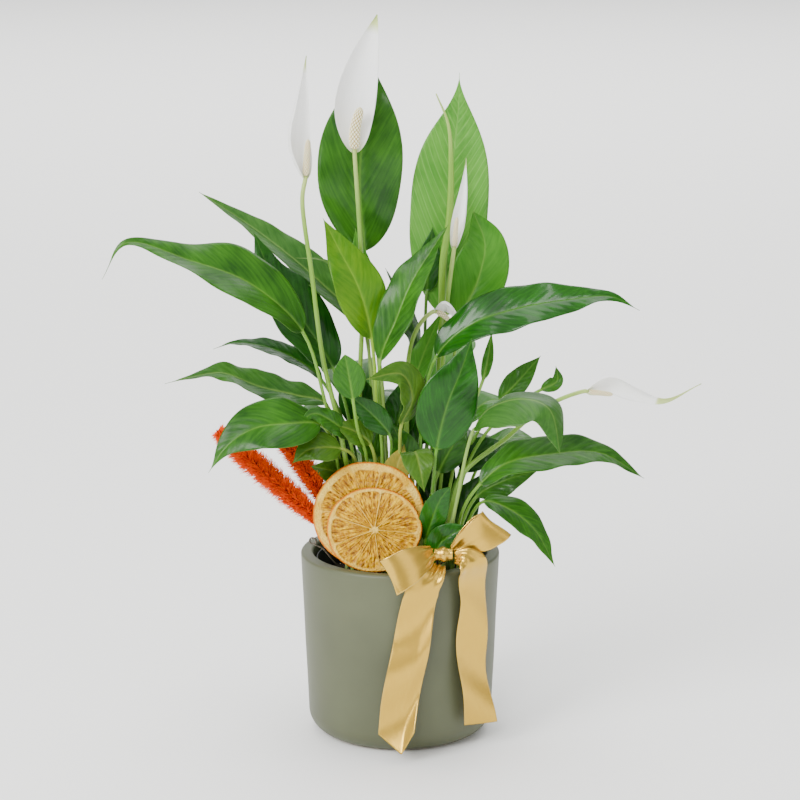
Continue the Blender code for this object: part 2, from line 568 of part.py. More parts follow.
def bow_loop(name, out, edge, front, back, start):
    """A ribbon loop that leaves the knot along out, folds over at its far end and comes back behind."""
    out = np.array(out, float)
    length = np.linalg.norm(out)
    away = unit(out)
    edge = unit(np.array(edge, float))
    thick = unit(np.cross(away, edge))
    if thick[1] > 0:
        thick = -thick
    meet = 0.9
    shape = [(0.0, meet), (0.3, 0.75 * front), (0.7, front), (0.95, 0.6 * front), (1.0, 0.0),
             (0.95, -0.6 * back), (0.7, -back), (0.3, -0.75 * back), (0.0, -meet)]
    centres = [KNOT + start + away * length * a + thick * b for a, b in shape]
    pinch = [0.36, 0.68, 0.92, 1.0, 1.0, 1.0, 0.92, 0.68, 0.36]
    widths = [RIBBON_WIDTH * share for share in pinch]
    return strip(name, centres, [edge] * len(centres), widths, 17, satin)


bow_knot()
left_start = np.array([-8.7, 1.0 - 0.2 * RIBBON_WIDTH, 2.0])   # a wider loop clears its tail by standing out
bow_loop("bow_loop_left", (-27, -22, -10), (0.44, -0.15, -0.9), 5.0, 2.6, left_start)
bow_loop("bow_loop_right", (26, 3, 17), (0.78, 0.1, -0.62), 3.5, 5.5, np.array([8.3, 3.0, 2.2]))

left_route = [
    KNOT + (-2.5, -1.5, -6.6),
    round_pot(19.5, POT_RIM_RADIUS + 2.3, POT_HEIGHT + 0.5),
    round_pot(12.0, POT_RIM_RADIUS + TAIL_CLEARANCE, POT_HEIGHT - 10),
    round_pot(5.5, wall_radius(POT_HEIGHT * 0.6) + 6, POT_HEIGHT * 0.6),
    round_pot(0.0, wall_radius(POT_HEIGHT * 0.33) + 9, POT_HEIGHT * 0.33),
    round_pot(-2.5, POT_FOOT_RADIUS + 16, 10.0),
]
left_across = [(1, 0.2, 0), (1, 0.2, 0.15), (1, 0.1, 0.2), (1, 0, 0.1), (1, 0, 0.1), (1, -0.1, 0.1)]
tail_width = RIBBON_WIDTH - 2   # the tails cup a little, so they span less than the flat ribbon
left_widths = [8, 12, tail_width - 2, tail_width, tail_width, tail_width]
strip("ribbon_tail_left", left_route, left_across, left_widths, 13, satin)

right_route = [
    KNOT + (7.2, -3.4, -1.5),
    KNOT + (13.5, -7.5, 0.0),
    KNOT + (18.5, -7.0, -5.0),
    round_pot(42.5, POT_RIM_RADIUS + TAIL_CLEARANCE + 0.5, POT_HEIGHT - 12),
    round_pot(43.5, wall_radius(POT_HEIGHT * 0.5) + 5.5, POT_HEIGHT * 0.5),
    round_pot(47.0, wall_radius(POT_HEIGHT * 0.17) + 9.5, POT_HEIGHT * 0.14),
]
right_across = [
    (0.1, 0.3, 1), (0.5, 0.45, 0.6), (0.75, 0.6, 0.1), (0.75, 0.66, 0), (0.75, 0.66, 0), (0.8, 0.6, 0),
]
right_widths = [8, 14, tail_width - 1, tail_width + 1, tail_width + 1, tail_width + 1]
strip("ribbon_tail_right", right_route, right_across, right_widths, 13, satin)

# Wire stem of the bow: from under the knot, inside the rim and into the soil
rod("bow_wire", [
    KNOT + (0, 2.0, -KNOT_SIZE[2] / 2 - 2 * GAP),
    round_pot(KNOT_ANGLE + 0.9, SOIL_RADIUS + 3.1, POT_HEIGHT + KNOT_RISE - 9.0),
    round_pot(KNOT_ANGLE + 0.5, SOIL_RADIUS - 2.1, POT_HEIGHT - 6.0),
    round_pot(KNOT_ANGLE + 0.5, SOIL_RADIUS - 4.6, SOIL_HEIGHT + GAP + 0.5),
], (0.7, 0.7), 6, 8, wire)
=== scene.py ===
"""Looks of a potted peace lily in a sage ceramic cover pot, dressed with a gold satin bow, two dried orange
slices and two dyed grass plumes. Tables are in millimetres; a mesh is turned to metres as it is made."""
import math

import bmesh
import bpy
import numpy as np
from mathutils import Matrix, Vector


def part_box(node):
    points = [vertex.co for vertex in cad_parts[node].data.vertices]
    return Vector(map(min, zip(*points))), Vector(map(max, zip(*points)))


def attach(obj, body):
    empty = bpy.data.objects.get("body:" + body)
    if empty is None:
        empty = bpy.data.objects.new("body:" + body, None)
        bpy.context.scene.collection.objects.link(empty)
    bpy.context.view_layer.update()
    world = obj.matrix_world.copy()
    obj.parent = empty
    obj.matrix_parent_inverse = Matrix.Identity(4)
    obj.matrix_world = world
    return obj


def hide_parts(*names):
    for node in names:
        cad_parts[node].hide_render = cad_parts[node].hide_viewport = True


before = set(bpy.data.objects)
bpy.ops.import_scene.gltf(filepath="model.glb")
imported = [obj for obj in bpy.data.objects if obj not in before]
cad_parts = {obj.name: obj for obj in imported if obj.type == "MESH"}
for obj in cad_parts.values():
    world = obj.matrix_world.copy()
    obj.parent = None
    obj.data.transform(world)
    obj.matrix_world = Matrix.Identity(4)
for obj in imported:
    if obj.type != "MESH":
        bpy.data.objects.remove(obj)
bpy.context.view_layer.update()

# ---------------------------------------------------------------------------------------------------------
# Studio: one pale matt floor that fills the view, soft light from large panels, and a long lens that looks
# gently down on the pot. The main panel stands to the front left, so the pot darkens towards its right.


def linear(hex_colour):
    """An sRGB hex colour as linear red, green, blue and alpha."""
    c = np.array([int(hex_colour[i:i + 2], 16) / 255 for i in (0, 2, 4)])
    c = np.where(c <= 0.04045, c / 12.92, ((c + 0.055) / 1.055) ** 2.4)
    return (*c.tolist(), 1.0)


def feed(node, sockets):
    """Gives each input a value or an output that drives it; a node stands for its first working output."""
    for key, value in sockets.items():
        if isinstance(value, bpy.types.Node):
            value = next(output for output in value.outputs if output.enabled)
        if isinstance(value, bpy.types.NodeSocket):
            node.id_data.links.new(value, node.inputs[key])
        else:
            node.inputs[key].default_value = value


def add_node(tree, kind, sockets=None, stops=None, **settings):
    """Adds a shader node with its settings and its inputs; stops are a ramp's places and hex colours."""
    node = tree.nodes.new("ShaderNode" + kind)
    for key, value in settings.items():
        setattr(node, key, value)
    feed(node, sockets or {})
    if stops:
        ramp = node.color_ramp
        for place, _ in stops[2:]:
            ramp.elements.new(place)
        for element, (place, hex_colour) in zip(ramp.elements, stops):
            element.position = place
            element.color = linear(hex_colour)
    return node


def new_material(name, **values):
    """A material, its Principled shader with plain values given by socket name, and its node tree."""
    made = bpy.data.materials.new(name)
    made.use_nodes = True
    shader = made.node_tree.nodes["Principled BSDF"]
    for key, value in values.items():
        shader.inputs[key.replace("_", " ")].default_value = value
    return made, shader, made.node_tree


scene = bpy.context.scene
studio_floor, _, _ = new_material("matt_white_paper", Base_Color=linear("f7f7f5"), Roughness=0.9)
floor_mesh = bpy.data.meshes.new("studio_floor")
floor_mesh.from_pydata([(-20, -20, 0), (20, -20, 0), (20, 20, 0), (-20, 20, 0)], [], [(0, 1, 2, 3)])
floor_mesh.materials.append(studio_floor)
floor = bpy.data.objects.new("studio_floor", floor_mesh)
floor.location.z = -0.0004
scene.collection.objects.link(floor)

PANELS = [
    # name, place, aimed at, width, height, watts
    ("key_panel", (-1.5, -1.7, 1.5), (0, 0, 0.22), 1.1, 1.1, 74),
    ("fill_panel", (1.9, -1.5, 0.9), (0, 0, 0.25), 1.4, 1.4, 9),
    ("top_panel", (0.1, 0.5, 2.3), (0, 0, 0.2), 1.6, 1.6, 36),
    ("strip_panel", (-0.35, -1.9, 1.5), (0, 0, 0.15), 0.35, 1.0, 15),
    ("floor_panel", (0, 4.0, 2.6), (0, 4.4, 0), 5.0, 4.0, 200),
]
for panel_name, place, aim, width, height, watts in PANELS:
    light = bpy.data.lights.new(panel_name, "AREA")
    light.shape = "RECTANGLE"
    light.size = width
    light.size_y = height
    light.energy = watts
    panel = bpy.data.objects.new(panel_name, light)
    panel.location = place
    panel.rotation_euler = (Vector(aim) - Vector(place)).to_track_quat("-Z", "Y").to_euler()
    scene.collection.objects.link(panel)

sky = bpy.data.worlds.new("soft_room_light")
sky.use_nodes = True
room = sky.node_tree.nodes["Background"]
room.inputs["Strength"].default_value = 1.0
heading = add_node(sky.node_tree, "SeparateXYZ", {
    0: add_node(sky.node_tree, "TexCoord").outputs["Generated"]}).outputs
slope = add_node(sky.node_tree, "Math", {0: heading["Z"], 1: add_node(
    sky.node_tree, "Math", {0: heading["X"], 1: -0.35}, operation="MULTIPLY")}, operation="ADD")
room_light = add_node(sky.node_tree, "MapRange", {
    "Value": slope, "From Min": -0.3, "From Max": 0.9, "To Min": 0.35, "To Max": 1.15})
feed(room, {"Color": room_light})
scene.world = sky

CAMERA_DISTANCE = 1.875        # to the pot's axis, along the line of sight
CAMERA_DOWN = math.radians(12.637)
CAMERA_AIM = 0.2298            # height on the axis at the middle of the view
lens = bpy.data.cameras.new("long_lens")
lens.lens = 125.4
lens.sensor_width = 36
camera = bpy.data.objects.new("camera", lens)
camera.location = (
    0, -CAMERA_DISTANCE * math.cos(CAMERA_DOWN), CAMERA_AIM + CAMERA_DISTANCE * math.sin(CAMERA_DOWN))
camera.rotation_euler = (math.pi / 2 - CAMERA_DOWN, 0, 0)
scene.collection.objects.link(camera)
scene.camera = camera

# ---------------------------------------------------------------------------------------------------------
# Cover pot: thrown or cast stoneware, 8.5 mm thick, with a rounded foot and a soft rim. It has a matt sage
# glaze that lies evenly, with a fine grain that you feel more than see, and a wiped, bare foot.

MM = 0.001


def add_piece(name, points, faces, finish, node=None, marks=None, smooth=False):
    """A piece from points in millimetres, with a number per point for each mark that its finish reads."""
    mesh = bpy.data.meshes.new(name)
    mesh.from_pydata((points.reshape(-1, 3) * MM).tolist(), [], faces)
    for key, value in (marks or {}).items():
        layer = mesh.attributes.new(key, "FLOAT", "POINT")
        layer.data.foreach_set("value", np.broadcast_to(value, points.shape[:2]).ravel().astype(np.float32))
    shape = bmesh.new()
    shape.from_mesh(mesh)
    bmesh.ops.recalc_face_normals(shape, faces=shape.faces)
    shape.to_mesh(mesh)
    shape.free()
    if smooth:
        mesh.shade_smooth()
    mesh.materials.append(finish)
    piece = bpy.data.objects.new(name, mesh)
    scene.collection.objects.link(piece)
    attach(piece, "root")
    if node:
        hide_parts(node)
    return piece


def add_surface(name, points, finish, node=None, marks=None, rings_close=False):
    """A closed, smooth piece from a grid of points.

    A row is one ring round the piece, of an even number of points, and its last point joins its first. The
    first and last rings are capped by rungs straight across, or join each other where rings_close is true.
    """
    rows, columns = points.shape[:2]
    i = np.arange(rows if rings_close else rows - 1)[:, None]
    j = np.arange(columns)[None, :]
    below, above, beside = i * columns, (i + 1) % rows * columns, (j + 1) % columns
    quads = np.stack(np.broadcast_arrays(below + j, below + beside, above + beside, above + j), -1)
    faces = quads.reshape(-1, 4).tolist()
    if not rings_close:
        rung = np.arange(columns // 2 - 1)[:, None]
        ladder = np.hstack([rung, rung + 1, columns - 2 - rung, columns - 1 - rung])
        faces += ladder[:, ::-1].tolist() + (ladder + (rows - 1) * columns).tolist()
    return add_piece(name, points, faces, finish, node, marks, smooth=True)


def arc(centre, radius, start, end, steps):
    """Points (r, z) along a circular arc, with angles in degrees."""
    a = np.radians(np.linspace(start, end, steps + 1))
    return np.stack([centre[0] + radius * np.cos(a), centre[1] + radius * np.sin(a)], -1)


def run(start, end, steps):
    """Points between two profile points, with neither end."""
    return np.linspace(start, end, steps + 1)[1:-1]


def turned(profile, sectors):
    """Rings (r cos a, r sin a, z), one for each profile point (r, z), with a going once round."""
    r, z = np.asarray(profile, float).T[:, :, None]
    a = np.linspace(0, 2 * np.pi, sectors, endpoint=False)
    return np.stack([r * np.cos(a), r * np.sin(a), z + 0 * a], -1)


def ripple(points, size, seed, waves=20):
    """Smooth random rise and fall of about -1 to 1, with bumps size apart: sines in random directions."""
    rng = np.random.default_rng(seed)
    way = rng.normal(size=(waves, 3))
    way *= (rng.uniform(0.6, 1.4, (waves, 1)) * 2 * np.pi / size) / np.linalg.norm(way, axis=1, keepdims=True)
    start = rng.uniform(0, 2 * np.pi, waves)
    return np.sin(points @ way.T + start).sum(-1) / (1.4 * math.sqrt(waves / 2))


POT_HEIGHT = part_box("cover_pot")[1].z / MM
POT_RIM_RADIUS = 67.5
POT_FOOT_RADIUS = 62.0
POT_WALL = 8.5
POT_FLOOR = 9.0
POT_FOOT_CURVE = 15.0
POT_RIM_FILLET = 2.2
POT_INNER_CURVE = 6.0
AXIS = 0.05             # a profile starts this close to the axis, and a small cap closes it


def wall_radius(z):
    """Outer radius of the pot's conical side at height z."""
    return POT_FOOT_RADIUS + (POT_RIM_RADIUS - POT_FOOT_RADIUS) * z / POT_HEIGHT


foot_centre = (wall_radius(POT_FOOT_CURVE) - POT_FOOT_CURVE, POT_FOOT_CURVE)
rim_z = POT_HEIGHT - POT_RIM_FILLET
rim_outer = (wall_radius(rim_z) - POT_RIM_FILLET, rim_z)
rim_inner = (wall_radius(rim_z) - POT_WALL + POT_RIM_FILLET, rim_z)
inner_z = POT_FLOOR + POT_INNER_CURVE
inner_centre = (wall_radius(inner_z) - POT_WALL - POT_INNER_CURVE, inner_z)
outer_foot = arc(foot_centre, POT_FOOT_CURVE, -90, 0, 20)
outer_rim = arc(rim_outer, POT_RIM_FILLET, 0, 90, 8)
inner_rim = arc(rim_inner, POT_RIM_FILLET, 90, 180, 8)
inner_foot = arc(inner_centre, POT_INNER_CURVE, 0, -90, 8)
pot_profile = np.vstack([
    [(AXIS, 0)], run((AXIS, 0), outer_foot[0], 6), outer_foot, run(outer_foot[-1], outer_rim[0], 40),
    outer_rim, run(outer_rim[-1], inner_rim[0], 3), inner_rim, run(inner_rim[-1], inner_foot[0], 24),
    inner_foot, [(AXIS, POT_FLOOR)],
])
pot_points = turned(pot_profile, 200)
hand = 0.16 * ripple(pot_points, 60, 3) * np.clip(pot_points[..., 2:] / 12, 0, 1)[..., 0]
pot_points[..., :2] *= (1 + hand / POT_RIM_RADIUS)[..., None]

# Matt glaze: a broad, soft shine with no clear reflection, clouded and dark-flecked, over a bare clay foot
glaze, shader, tree = new_material("matt_sage_glaze", Roughness=0.5, IOR=1.5)
place = add_node(tree, "TexCoord").outputs["Object"]
cloud = add_node(tree, "TexNoise", {"Vector": place, "Scale": 18.0, "Detail": 3.0})       # 50 mm clouds
grain = add_node(tree, "TexNoise", {"Vector": place, "Scale": 1400.0, "Detail": 2.0})     # 0.7 mm grain
speck = add_node(tree, "TexVoronoi", {"Vector": place, "Scale": 260.0, "Randomness": 1.0})  # 4 mm apart
tone = add_node(tree, "ValToRGB", {"Fac": cloud}, stops=[(0.3, "484c34"), (0.7, "53583e")])
dot = add_node(tree, "MapRange", {
    "Value": speck, "From Min": 0.05, "From Max": 0.10, "To Min": 0.35, "To Max": 0.0})
dotted = add_node(tree, "Mix", {0: dot, 6: tone, 7: linear("41442f")}, data_type="RGBA")
height = add_node(tree, "SeparateXYZ", {0: place}).outputs["Z"]
bare = add_node(tree, "MapRange", {
    "Value": height, "From Min": 0.0002, "From Max": 0.0012, "To Min": 1.0, "To Max": 0.0})
body_clay = add_node(tree, "Mix", {0: bare, 6: dotted, 7: linear("c9bda8")}, data_type="RGBA")
feel = add_node(tree, "Bump", {"Height": grain, "Strength": 0.25, "Distance": 0.00012})
satin_glaze = add_node(tree, "MapRange", {"Value": cloud, "To Min": 0.42, "To Max": 0.56})
feed(shader, {"Base Color": body_clay, "Normal": feel, "Roughness": satin_glaze})
add_surface("glazed_cover_pot", pot_points, glaze, "cover_pot")

# ---------------------------------------------------------------------------------------------------------
# Nursery pot: the grower's thin black polypropylene pot, moulded with a rolled rim, which stands inside the
# ceramic one. Only its rim and the top of its inside show.

liner_low, liner_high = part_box("nursery_pot")
LINER_RIM = liner_high.x / MM
LINER_TOP = liner_high.z / MM
LINER_BASE = liner_low.z / MM
LINER_WALL = 1.1
LINER_GAP = 5.9         # to the cover pot's inside, at the base
LINER_LIP = 0.55        # the rolled rim's radius
liner_foot = wall_radius(LINER_BASE) - POT_WALL - LINER_GAP
lip = arc((LINER_RIM - LINER_LIP, LINER_TOP - LINER_LIP), LINER_LIP, 0, 180, 10)
liner_profile = np.vstack([
    [(AXIS, LINER_BASE), (liner_foot, LINER_BASE)], run((liner_foot, LINER_BASE), lip[0], 30), lip,
    run(lip[-1], (liner_foot - LINER_WALL, LINER_BASE + LINER_WALL), 30),
    [(liner_foot - LINER_WALL, LINER_BASE + LINER_WALL), (AXIS, LINER_BASE + LINER_WALL)],
])
# Moulded polypropylene: near black, with a waxy shine that turns paler and duller where it is scuffed
black_plastic, shader, tree = new_material("moulded_black_polypropylene", Roughness=0.42, IOR=1.49)
place = add_node(tree, "TexCoord").outputs["Object"]
scuff = add_node(tree, "TexNoise", {"Vector": place, "Scale": 120.0, "Detail": 4.0})    # 8 mm scuffs
dust = add_node(tree, "ValToRGB", {"Fac": scuff}, stops=[(0.4, "121315"), (0.8, "2c2b29")])
dull = add_node(tree, "MapRange", {"Value": scuff, "To Min": 0.34, "To Max": 0.6})
feed(shader, {"Base Color": dust, "Roughness": dull})
add_surface("moulded_nursery_pot", turned(liner_profile, 160), black_plastic, "nursery_pot")

# ---------------------------------------------------------------------------------------------------------
# Soil: peat-free potting mix of dark fibre and bark, damp and settled, with a few white grains of perlite.
# The crumbs lie loose on it, and it falls away a little at the edge of the plastic pot.

soil_low, soil_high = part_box("soil")
SOIL = soil_high.z / MM
SOIL_RADIUS = soil_high.x / MM
SOIL_BASE = soil_low.z / MM
SOIL_INSET = 0.9        # room for the lumps inside the packed soil's outline
top_radii = np.linspace(AXIS, SOIL_RADIUS - 0.6, 46)
soil_side = (SOIL_RADIUS - SOIL_INSET, SOIL - 4)
soil_foot = (liner_foot - 2.0, SOIL_BASE)
soil_profile = np.vstack([
    np.stack([top_radii, np.full_like(top_radii, SOIL - SOIL_INSET)], -1), [soil_side],
    run(soil_side, soil_foot, 4), [soil_foot, (AXIS, SOIL_BASE)],
])
soil_points = turned(soil_profile, 180)
soil_reach = np.hypot(soil_points[..., 0], soil_points[..., 1])
lumpy = 0.9 * ripple(soil_points, 9, 11) + 0.6 * ripple(soil_points, 3.5, 12)
on_top = (soil_points[..., 2] > SOIL - 2) & (soil_reach > 1)
edge_fall = 2.4 * np.clip((soil_reach - SOIL_RADIUS + 7) / 7, 0, 1) ** 2
soil_points[..., 2] += np.where(on_top, lumpy - edge_fall, 0)

# Damp potting mix: dark brown and matt, crumbed in tone and in relief
potting_mix, shader, tree = new_material("damp_potting_mix", Roughness=0.95, IOR=1.4)
place = add_node(tree, "TexCoord").outputs["Object"]
clod = add_node(tree, "TexNoise", {"Vector": place, "Scale": 420.0, "Detail": 6.0})     # 2.4 mm crumbs
fleck = add_node(tree, "TexVoronoi", {"Vector": place, "Scale": 900.0})                 # 1.1 mm flecks
earth_tone = add_node(tree, "ValToRGB", {"Fac": clod},
                      stops=[(0.35, "120c08"), (0.55, "2e2017"), (0.75, "4a3728")])
rough_soil = add_node(tree, "Math", {0: clod, 1: fleck}, operation="ADD")
crumbly = add_node(tree, "Bump", {"Height": rough_soil, "Strength": 0.9, "Distance": 0.0009})
feed(shader, {"Base Color": earth_tone, "Normal": crumbly})
add_surface("potting_mix_surface", soil_points, potting_mix, "soil")


def scatter(name, centres, sizes, finish, seed):
    """Small closed lumps: an octahedron at each centre, stretched and turned at random, all in one mesh."""
    rng = np.random.default_rng(seed)
    corners = np.array([(1, 0, 0), (-1, 0, 0), (0, 1, 0), (0, -1, 0), (0, 0, 1), (0, 0, -1)], float)
    faces = np.array([(0, 2, 4), (2, 1, 4), (1, 3, 4), (3, 0, 4), (2, 0, 5), (1, 2, 5), (3, 1, 5), (0, 3, 5)])
    stretch = rng.uniform(0.5, 1.3, (len(centres), 1, 3)) * sizes[:, None, None]
    turn, _ = np.linalg.qr(rng.normal(size=(len(centres), 3, 3)))
    turn *= np.sign(np.linalg.det(turn))[:, None, None]
    points = centres[:, None, :] + np.einsum("nij,nkj->nki", turn, corners * stretch)
    order = (faces[None] + 6 * np.arange(len(centres))[:, None, None]).reshape(-1, 3)
    return add_piece(name, points, order.tolist(), finish)


rng = np.random.default_rng(21)


def soil_places(count, lift):
    """Random places on the soil's surface, evenly spread over the disc."""
    r, a = (SOIL_RADIUS - 3) * np.sqrt(rng.uniform(0, 1, count)), rng.uniform(0, 2 * np.pi, count)
    return np.stack([r * np.cos(a), r * np.sin(a), np.full(count, SOIL - 0.5) + lift], -1)


# Expanded perlite: dull, off-white grains, dirtier in their pores
perlite, shader, tree = new_material("expanded_perlite", Roughness=0.9)
place = add_node(tree, "TexCoord").outputs["Object"]
pores = add_node(tree, "TexNoise", {"Vector": place, "Scale": 1500.0})                  # 0.7 mm pores
dirty = add_node(tree, "ValToRGB", {"Fac": pores}, stops=[(0.3, "9c9484"), (0.6, "dcd8cc")])
feed(shader, {"Base Color": dirty})
scatter("soil_crumbs", soil_places(900, rng.uniform(-0.2, 0.6, 900)), rng.uniform(0.5, 1.6, 900), potting_mix,
        5)
scatter("perlite_grains", soil_places(70, rng.uniform(0, 0.5, 70)), rng.uniform(0.5, 1.1, 70), perlite,
        6)

# ---------------------------------------------------------------------------------------------------------
# Leaves: each grows from the crown on its own round green stem, which runs on as a pale midrib. The blade
# is thin and lance-shaped, quilted between curved side veins, wavy at its margin and drawn to a drip tip.


def smooth_curve(points, per_span=24):
    """A centripetal Catmull-Rom curve, finely divided, and the point number at each division."""
    p = np.asarray(points, float)
    p = np.vstack([2 * p[0] - p[1], p, 2 * p[-1] - p[-2]])
    span = np.sqrt(np.linalg.norm(np.diff(p, axis=0), axis=1))[:, None]
    before, here, after = span[:-2], span[1:-1], span[2:]
    rise = p[2:-1] - p[1:-2]
    leave = rise + here * ((p[1:-2] - p[:-3]) / before - (p[2:-1] - p[:-3]) / (before + here))
    arrive = rise + here * ((p[3:] - p[2:-1]) / after - (p[3:] - p[1:-2]) / (here + after))
    t = np.linspace(0, 1, per_span, endpoint=False)[None, :, None]
    start, end, leave, arrive = (a[:, None, :] for a in (p[1:-2], p[2:-1], leave, arrive))
    fine = ((2 * t**3 - 3 * t**2 + 1) * start + (t**3 - 2 * t**2 + t) * leave
            + (3 * t**2 - 2 * t**3) * end + (t**3 - t**2) * arrive)
    spans = len(points) - 1
    return np.vstack([fine.reshape(-1, 3), p[-2:-1]]), np.linspace(0, spans, spans * per_span + 1)


def distances(fine):
    """How far along the curve each of its points lies."""
    return np.concatenate([[0], np.cumsum(np.linalg.norm(np.diff(fine, axis=0), axis=1))])


def at_lengths(fine, lengths):
    """Points at the given distances along a finely divided curve."""
    along = distances(fine)
    return np.stack([np.interp(lengths, along, fine[:, k]) for k in range(3)], -1)


def unit(v):
    """Vectors of length 1 in the same directions."""
    return v / np.linalg.norm(v, axis=-1, keepdims=True)


def directions(fine, lengths, step=1.0):
    """The curve's direction at the given distances along it."""
    return unit(at_lengths(fine, lengths + step) - at_lengths(fine, lengths - step))


def frames(tangent, face, start):
    """Sideways and upper directions that turn as little as they can; at start, upper looks to face."""
    upper = np.zeros_like(tangent)
    upper[start] = unit(face - (face @ tangent[start]) * tangent[start])
    for order in (range(start + 1, len(tangent)), range(start - 1, -1, -1)):
        last = upper[start]
        for i in order:
            last = unit(last - (last @ tangent[i]) * tangent[i])
            upper[i] = last
    return np.cross(tangent, upper), upper


def placed(centre, side, upper, x, z):
    """Rings of points about each centre: x along side and z along upper."""
    return centre[:, None, :] + x[..., None] * side[:, None, :] + z[..., None] * upper[:, None, :]


def ease(x):
    """0 to 1 with a soft start and end."""
    x = np.clip(x, 0, 1)
    return x * x * (3 - 2 * x)


SPROUT = 7.0            # a stem's first, upright stretch
SEAT = 0.3              # above the soil solid's top
ROOT_SPREAD = SOIL_RADIUS / 55.0    # roots are placed on a soil disc of 55 mm radius


def above_soil(points):
    """Points whose heights are given above the soil, with their real heights."""
    return [(x, y, z + SOIL) for x, y, z in points]


def planted(root, points):
    """A growing piece's points: straight up out of the soil at its root, then through the given points."""
    base = (root[0] * ROOT_SPREAD, root[1] * ROOT_SPREAD, SOIL + SEAT)
    return [base, (base[0], base[1], base[2] + SPROUT)] + above_soil(points)


STEM_ROWS = 22
HALF_COLUMNS = 26       # faces across the upper side of a blade


def blade_width(t, widest, drip, full=1.8):
    """Half width as a share of its widest: a quick round rise, then a long fall to the drip tip.

    A fuller blade stays broad for longer before its tip narrows.
    """
    rise = np.sqrt(np.clip(1 - (1 - np.clip(t / widest, 0, 1)) ** 2, 0, 1)) ** 1.2
    past = np.clip((t - widest) / (1 - widest), 0, 1)
    fall = (1 - past**full) ** drip
    return np.where(t < widest, rise, fall)


def grow_leaf(name, root, points, neck, half_width, face, fold, skin, slot, node=None,
              widest=0.4, drip=1.35, full=1.8, wave=0.9, camber=0.1, stem=1.1, vein_gap=9.0, quilt=0.42,
              seed=1):
    """One leaf as a closed skin, with a ring of points at each row along stem and blade.

    On the stem a ring is a circle. On the blade, at s from -1 to 1 across, its middle surface is a rounded V
    (fold), bent back at the margins (camber s^2), raised between side veins (quilt |sin(pi phase)|) and
    waved at the margins (wave |s|^2.2 sin). phase counts side veins, which lean to the tip as they run out.
    """
    fine, number = smooth_curve(planted(root, points))
    along = distances(fine)
    total = along[-1]
    blade_start = np.interp(neck + 1, number, along)
    blade_rows = int(np.clip((total - blade_start) / 1.6, 36, 120))
    lengths = np.concatenate([
        np.linspace(0, blade_start, STEM_ROWS, endpoint=False), np.linspace(blade_start, total, blade_rows)])
    centre = at_lengths(fine, lengths)
    side, upper = frames(directions(fine, lengths), np.array(face, float), STEM_ROWS + int(0.55 * blade_rows))
    t = np.clip((lengths - blade_start) / (total - blade_start), 0, 1)[:, None]

    across = np.linspace(-1, 1, HALF_COLUMNS + 1)
    across = np.sign(across) * np.abs(across) ** 1.2
    s = np.concatenate([across, across[::-1]])[None, :]
    under = np.concatenate([np.zeros(HALF_COLUMNS + 1), np.ones(HALF_COLUMNS + 1)])[None, :]
    columns = s.shape[1]
    width = half_width * blade_width(t, widest, drip, full)
    out = width * np.abs(s)
    stem_radius = stem * (1.12 - 0.12 * np.clip(lengths / blade_start, 0, 1)[:, None]) * (1 - 0.88 * t)
    flat = ease(width / (2.2 * stem_radius + 0.3))

    travel = (lengths - blade_start)[:, None]
    phase = (travel - 1.5 * out - 0.02 * out**2) / vein_gap + np.where(s > 0, 0.5, 0.0)
    rng = np.random.default_rng(seed)
    beat = 2 * np.pi * travel / (2.4 * half_width)
    shake = np.sin(beat + rng.uniform(0, 6) + 2.3 * (s > 0))
    shake = shake + 0.6 * np.sin(1.7 * beat + rng.uniform(0, 6) + 4 * (s > 0))
    swell = np.sin(np.pi * np.abs(s) ** 0.75)
    body = (
        width * (np.sqrt(s**2 + 0.006) - 0.077) * math.sin(math.radians(fold)) - camber * width * s**2
        + quilt * (np.abs(np.sin(np.pi * phase)) ** 0.8 - 0.6) * swell * np.clip(width / 8, 0, 1)
        + wave * shake * np.abs(s) ** 2.2 * np.clip(width / 6, 0, 1))
    half_thick = 0.30 - 0.14 * np.abs(s)
    keel = 1.5 * stem_radius * np.exp(-(out / (0.9 * stem_radius + 0.25)) ** 2)
    groove = 0.5 * stem_radius * np.exp(-(out / 0.9) ** 2)
    blade_x = width * s * math.cos(math.radians(fold) * 0.9)
    blade_z = body + np.where(under > 0, -half_thick - keel, half_thick - groove)
    angle = math.pi - 2 * math.pi * (np.arange(columns) + 0.5) / columns
    x = (1 - flat) * stem_radius * np.cos(angle) + flat * blade_x
    z = (1 - flat) * stem_radius * np.sin(angle) + flat * blade_z
    rings = placed(centre, side, upper, x, z)
    rib = np.maximum(1 - flat, 0.6 * np.exp(-(out / (0.35 + 0.5 * (1 - t))) ** 2))
    marks = {"vein": phase, "across": np.abs(s), "under": under, "along": t, "rib": rib,
             "height": (lengths / total)[:, None]}
    return add_surface(name, rings, skin, node, marks)


STEM_FOOT = "b9c684"    # stems pale towards the soil


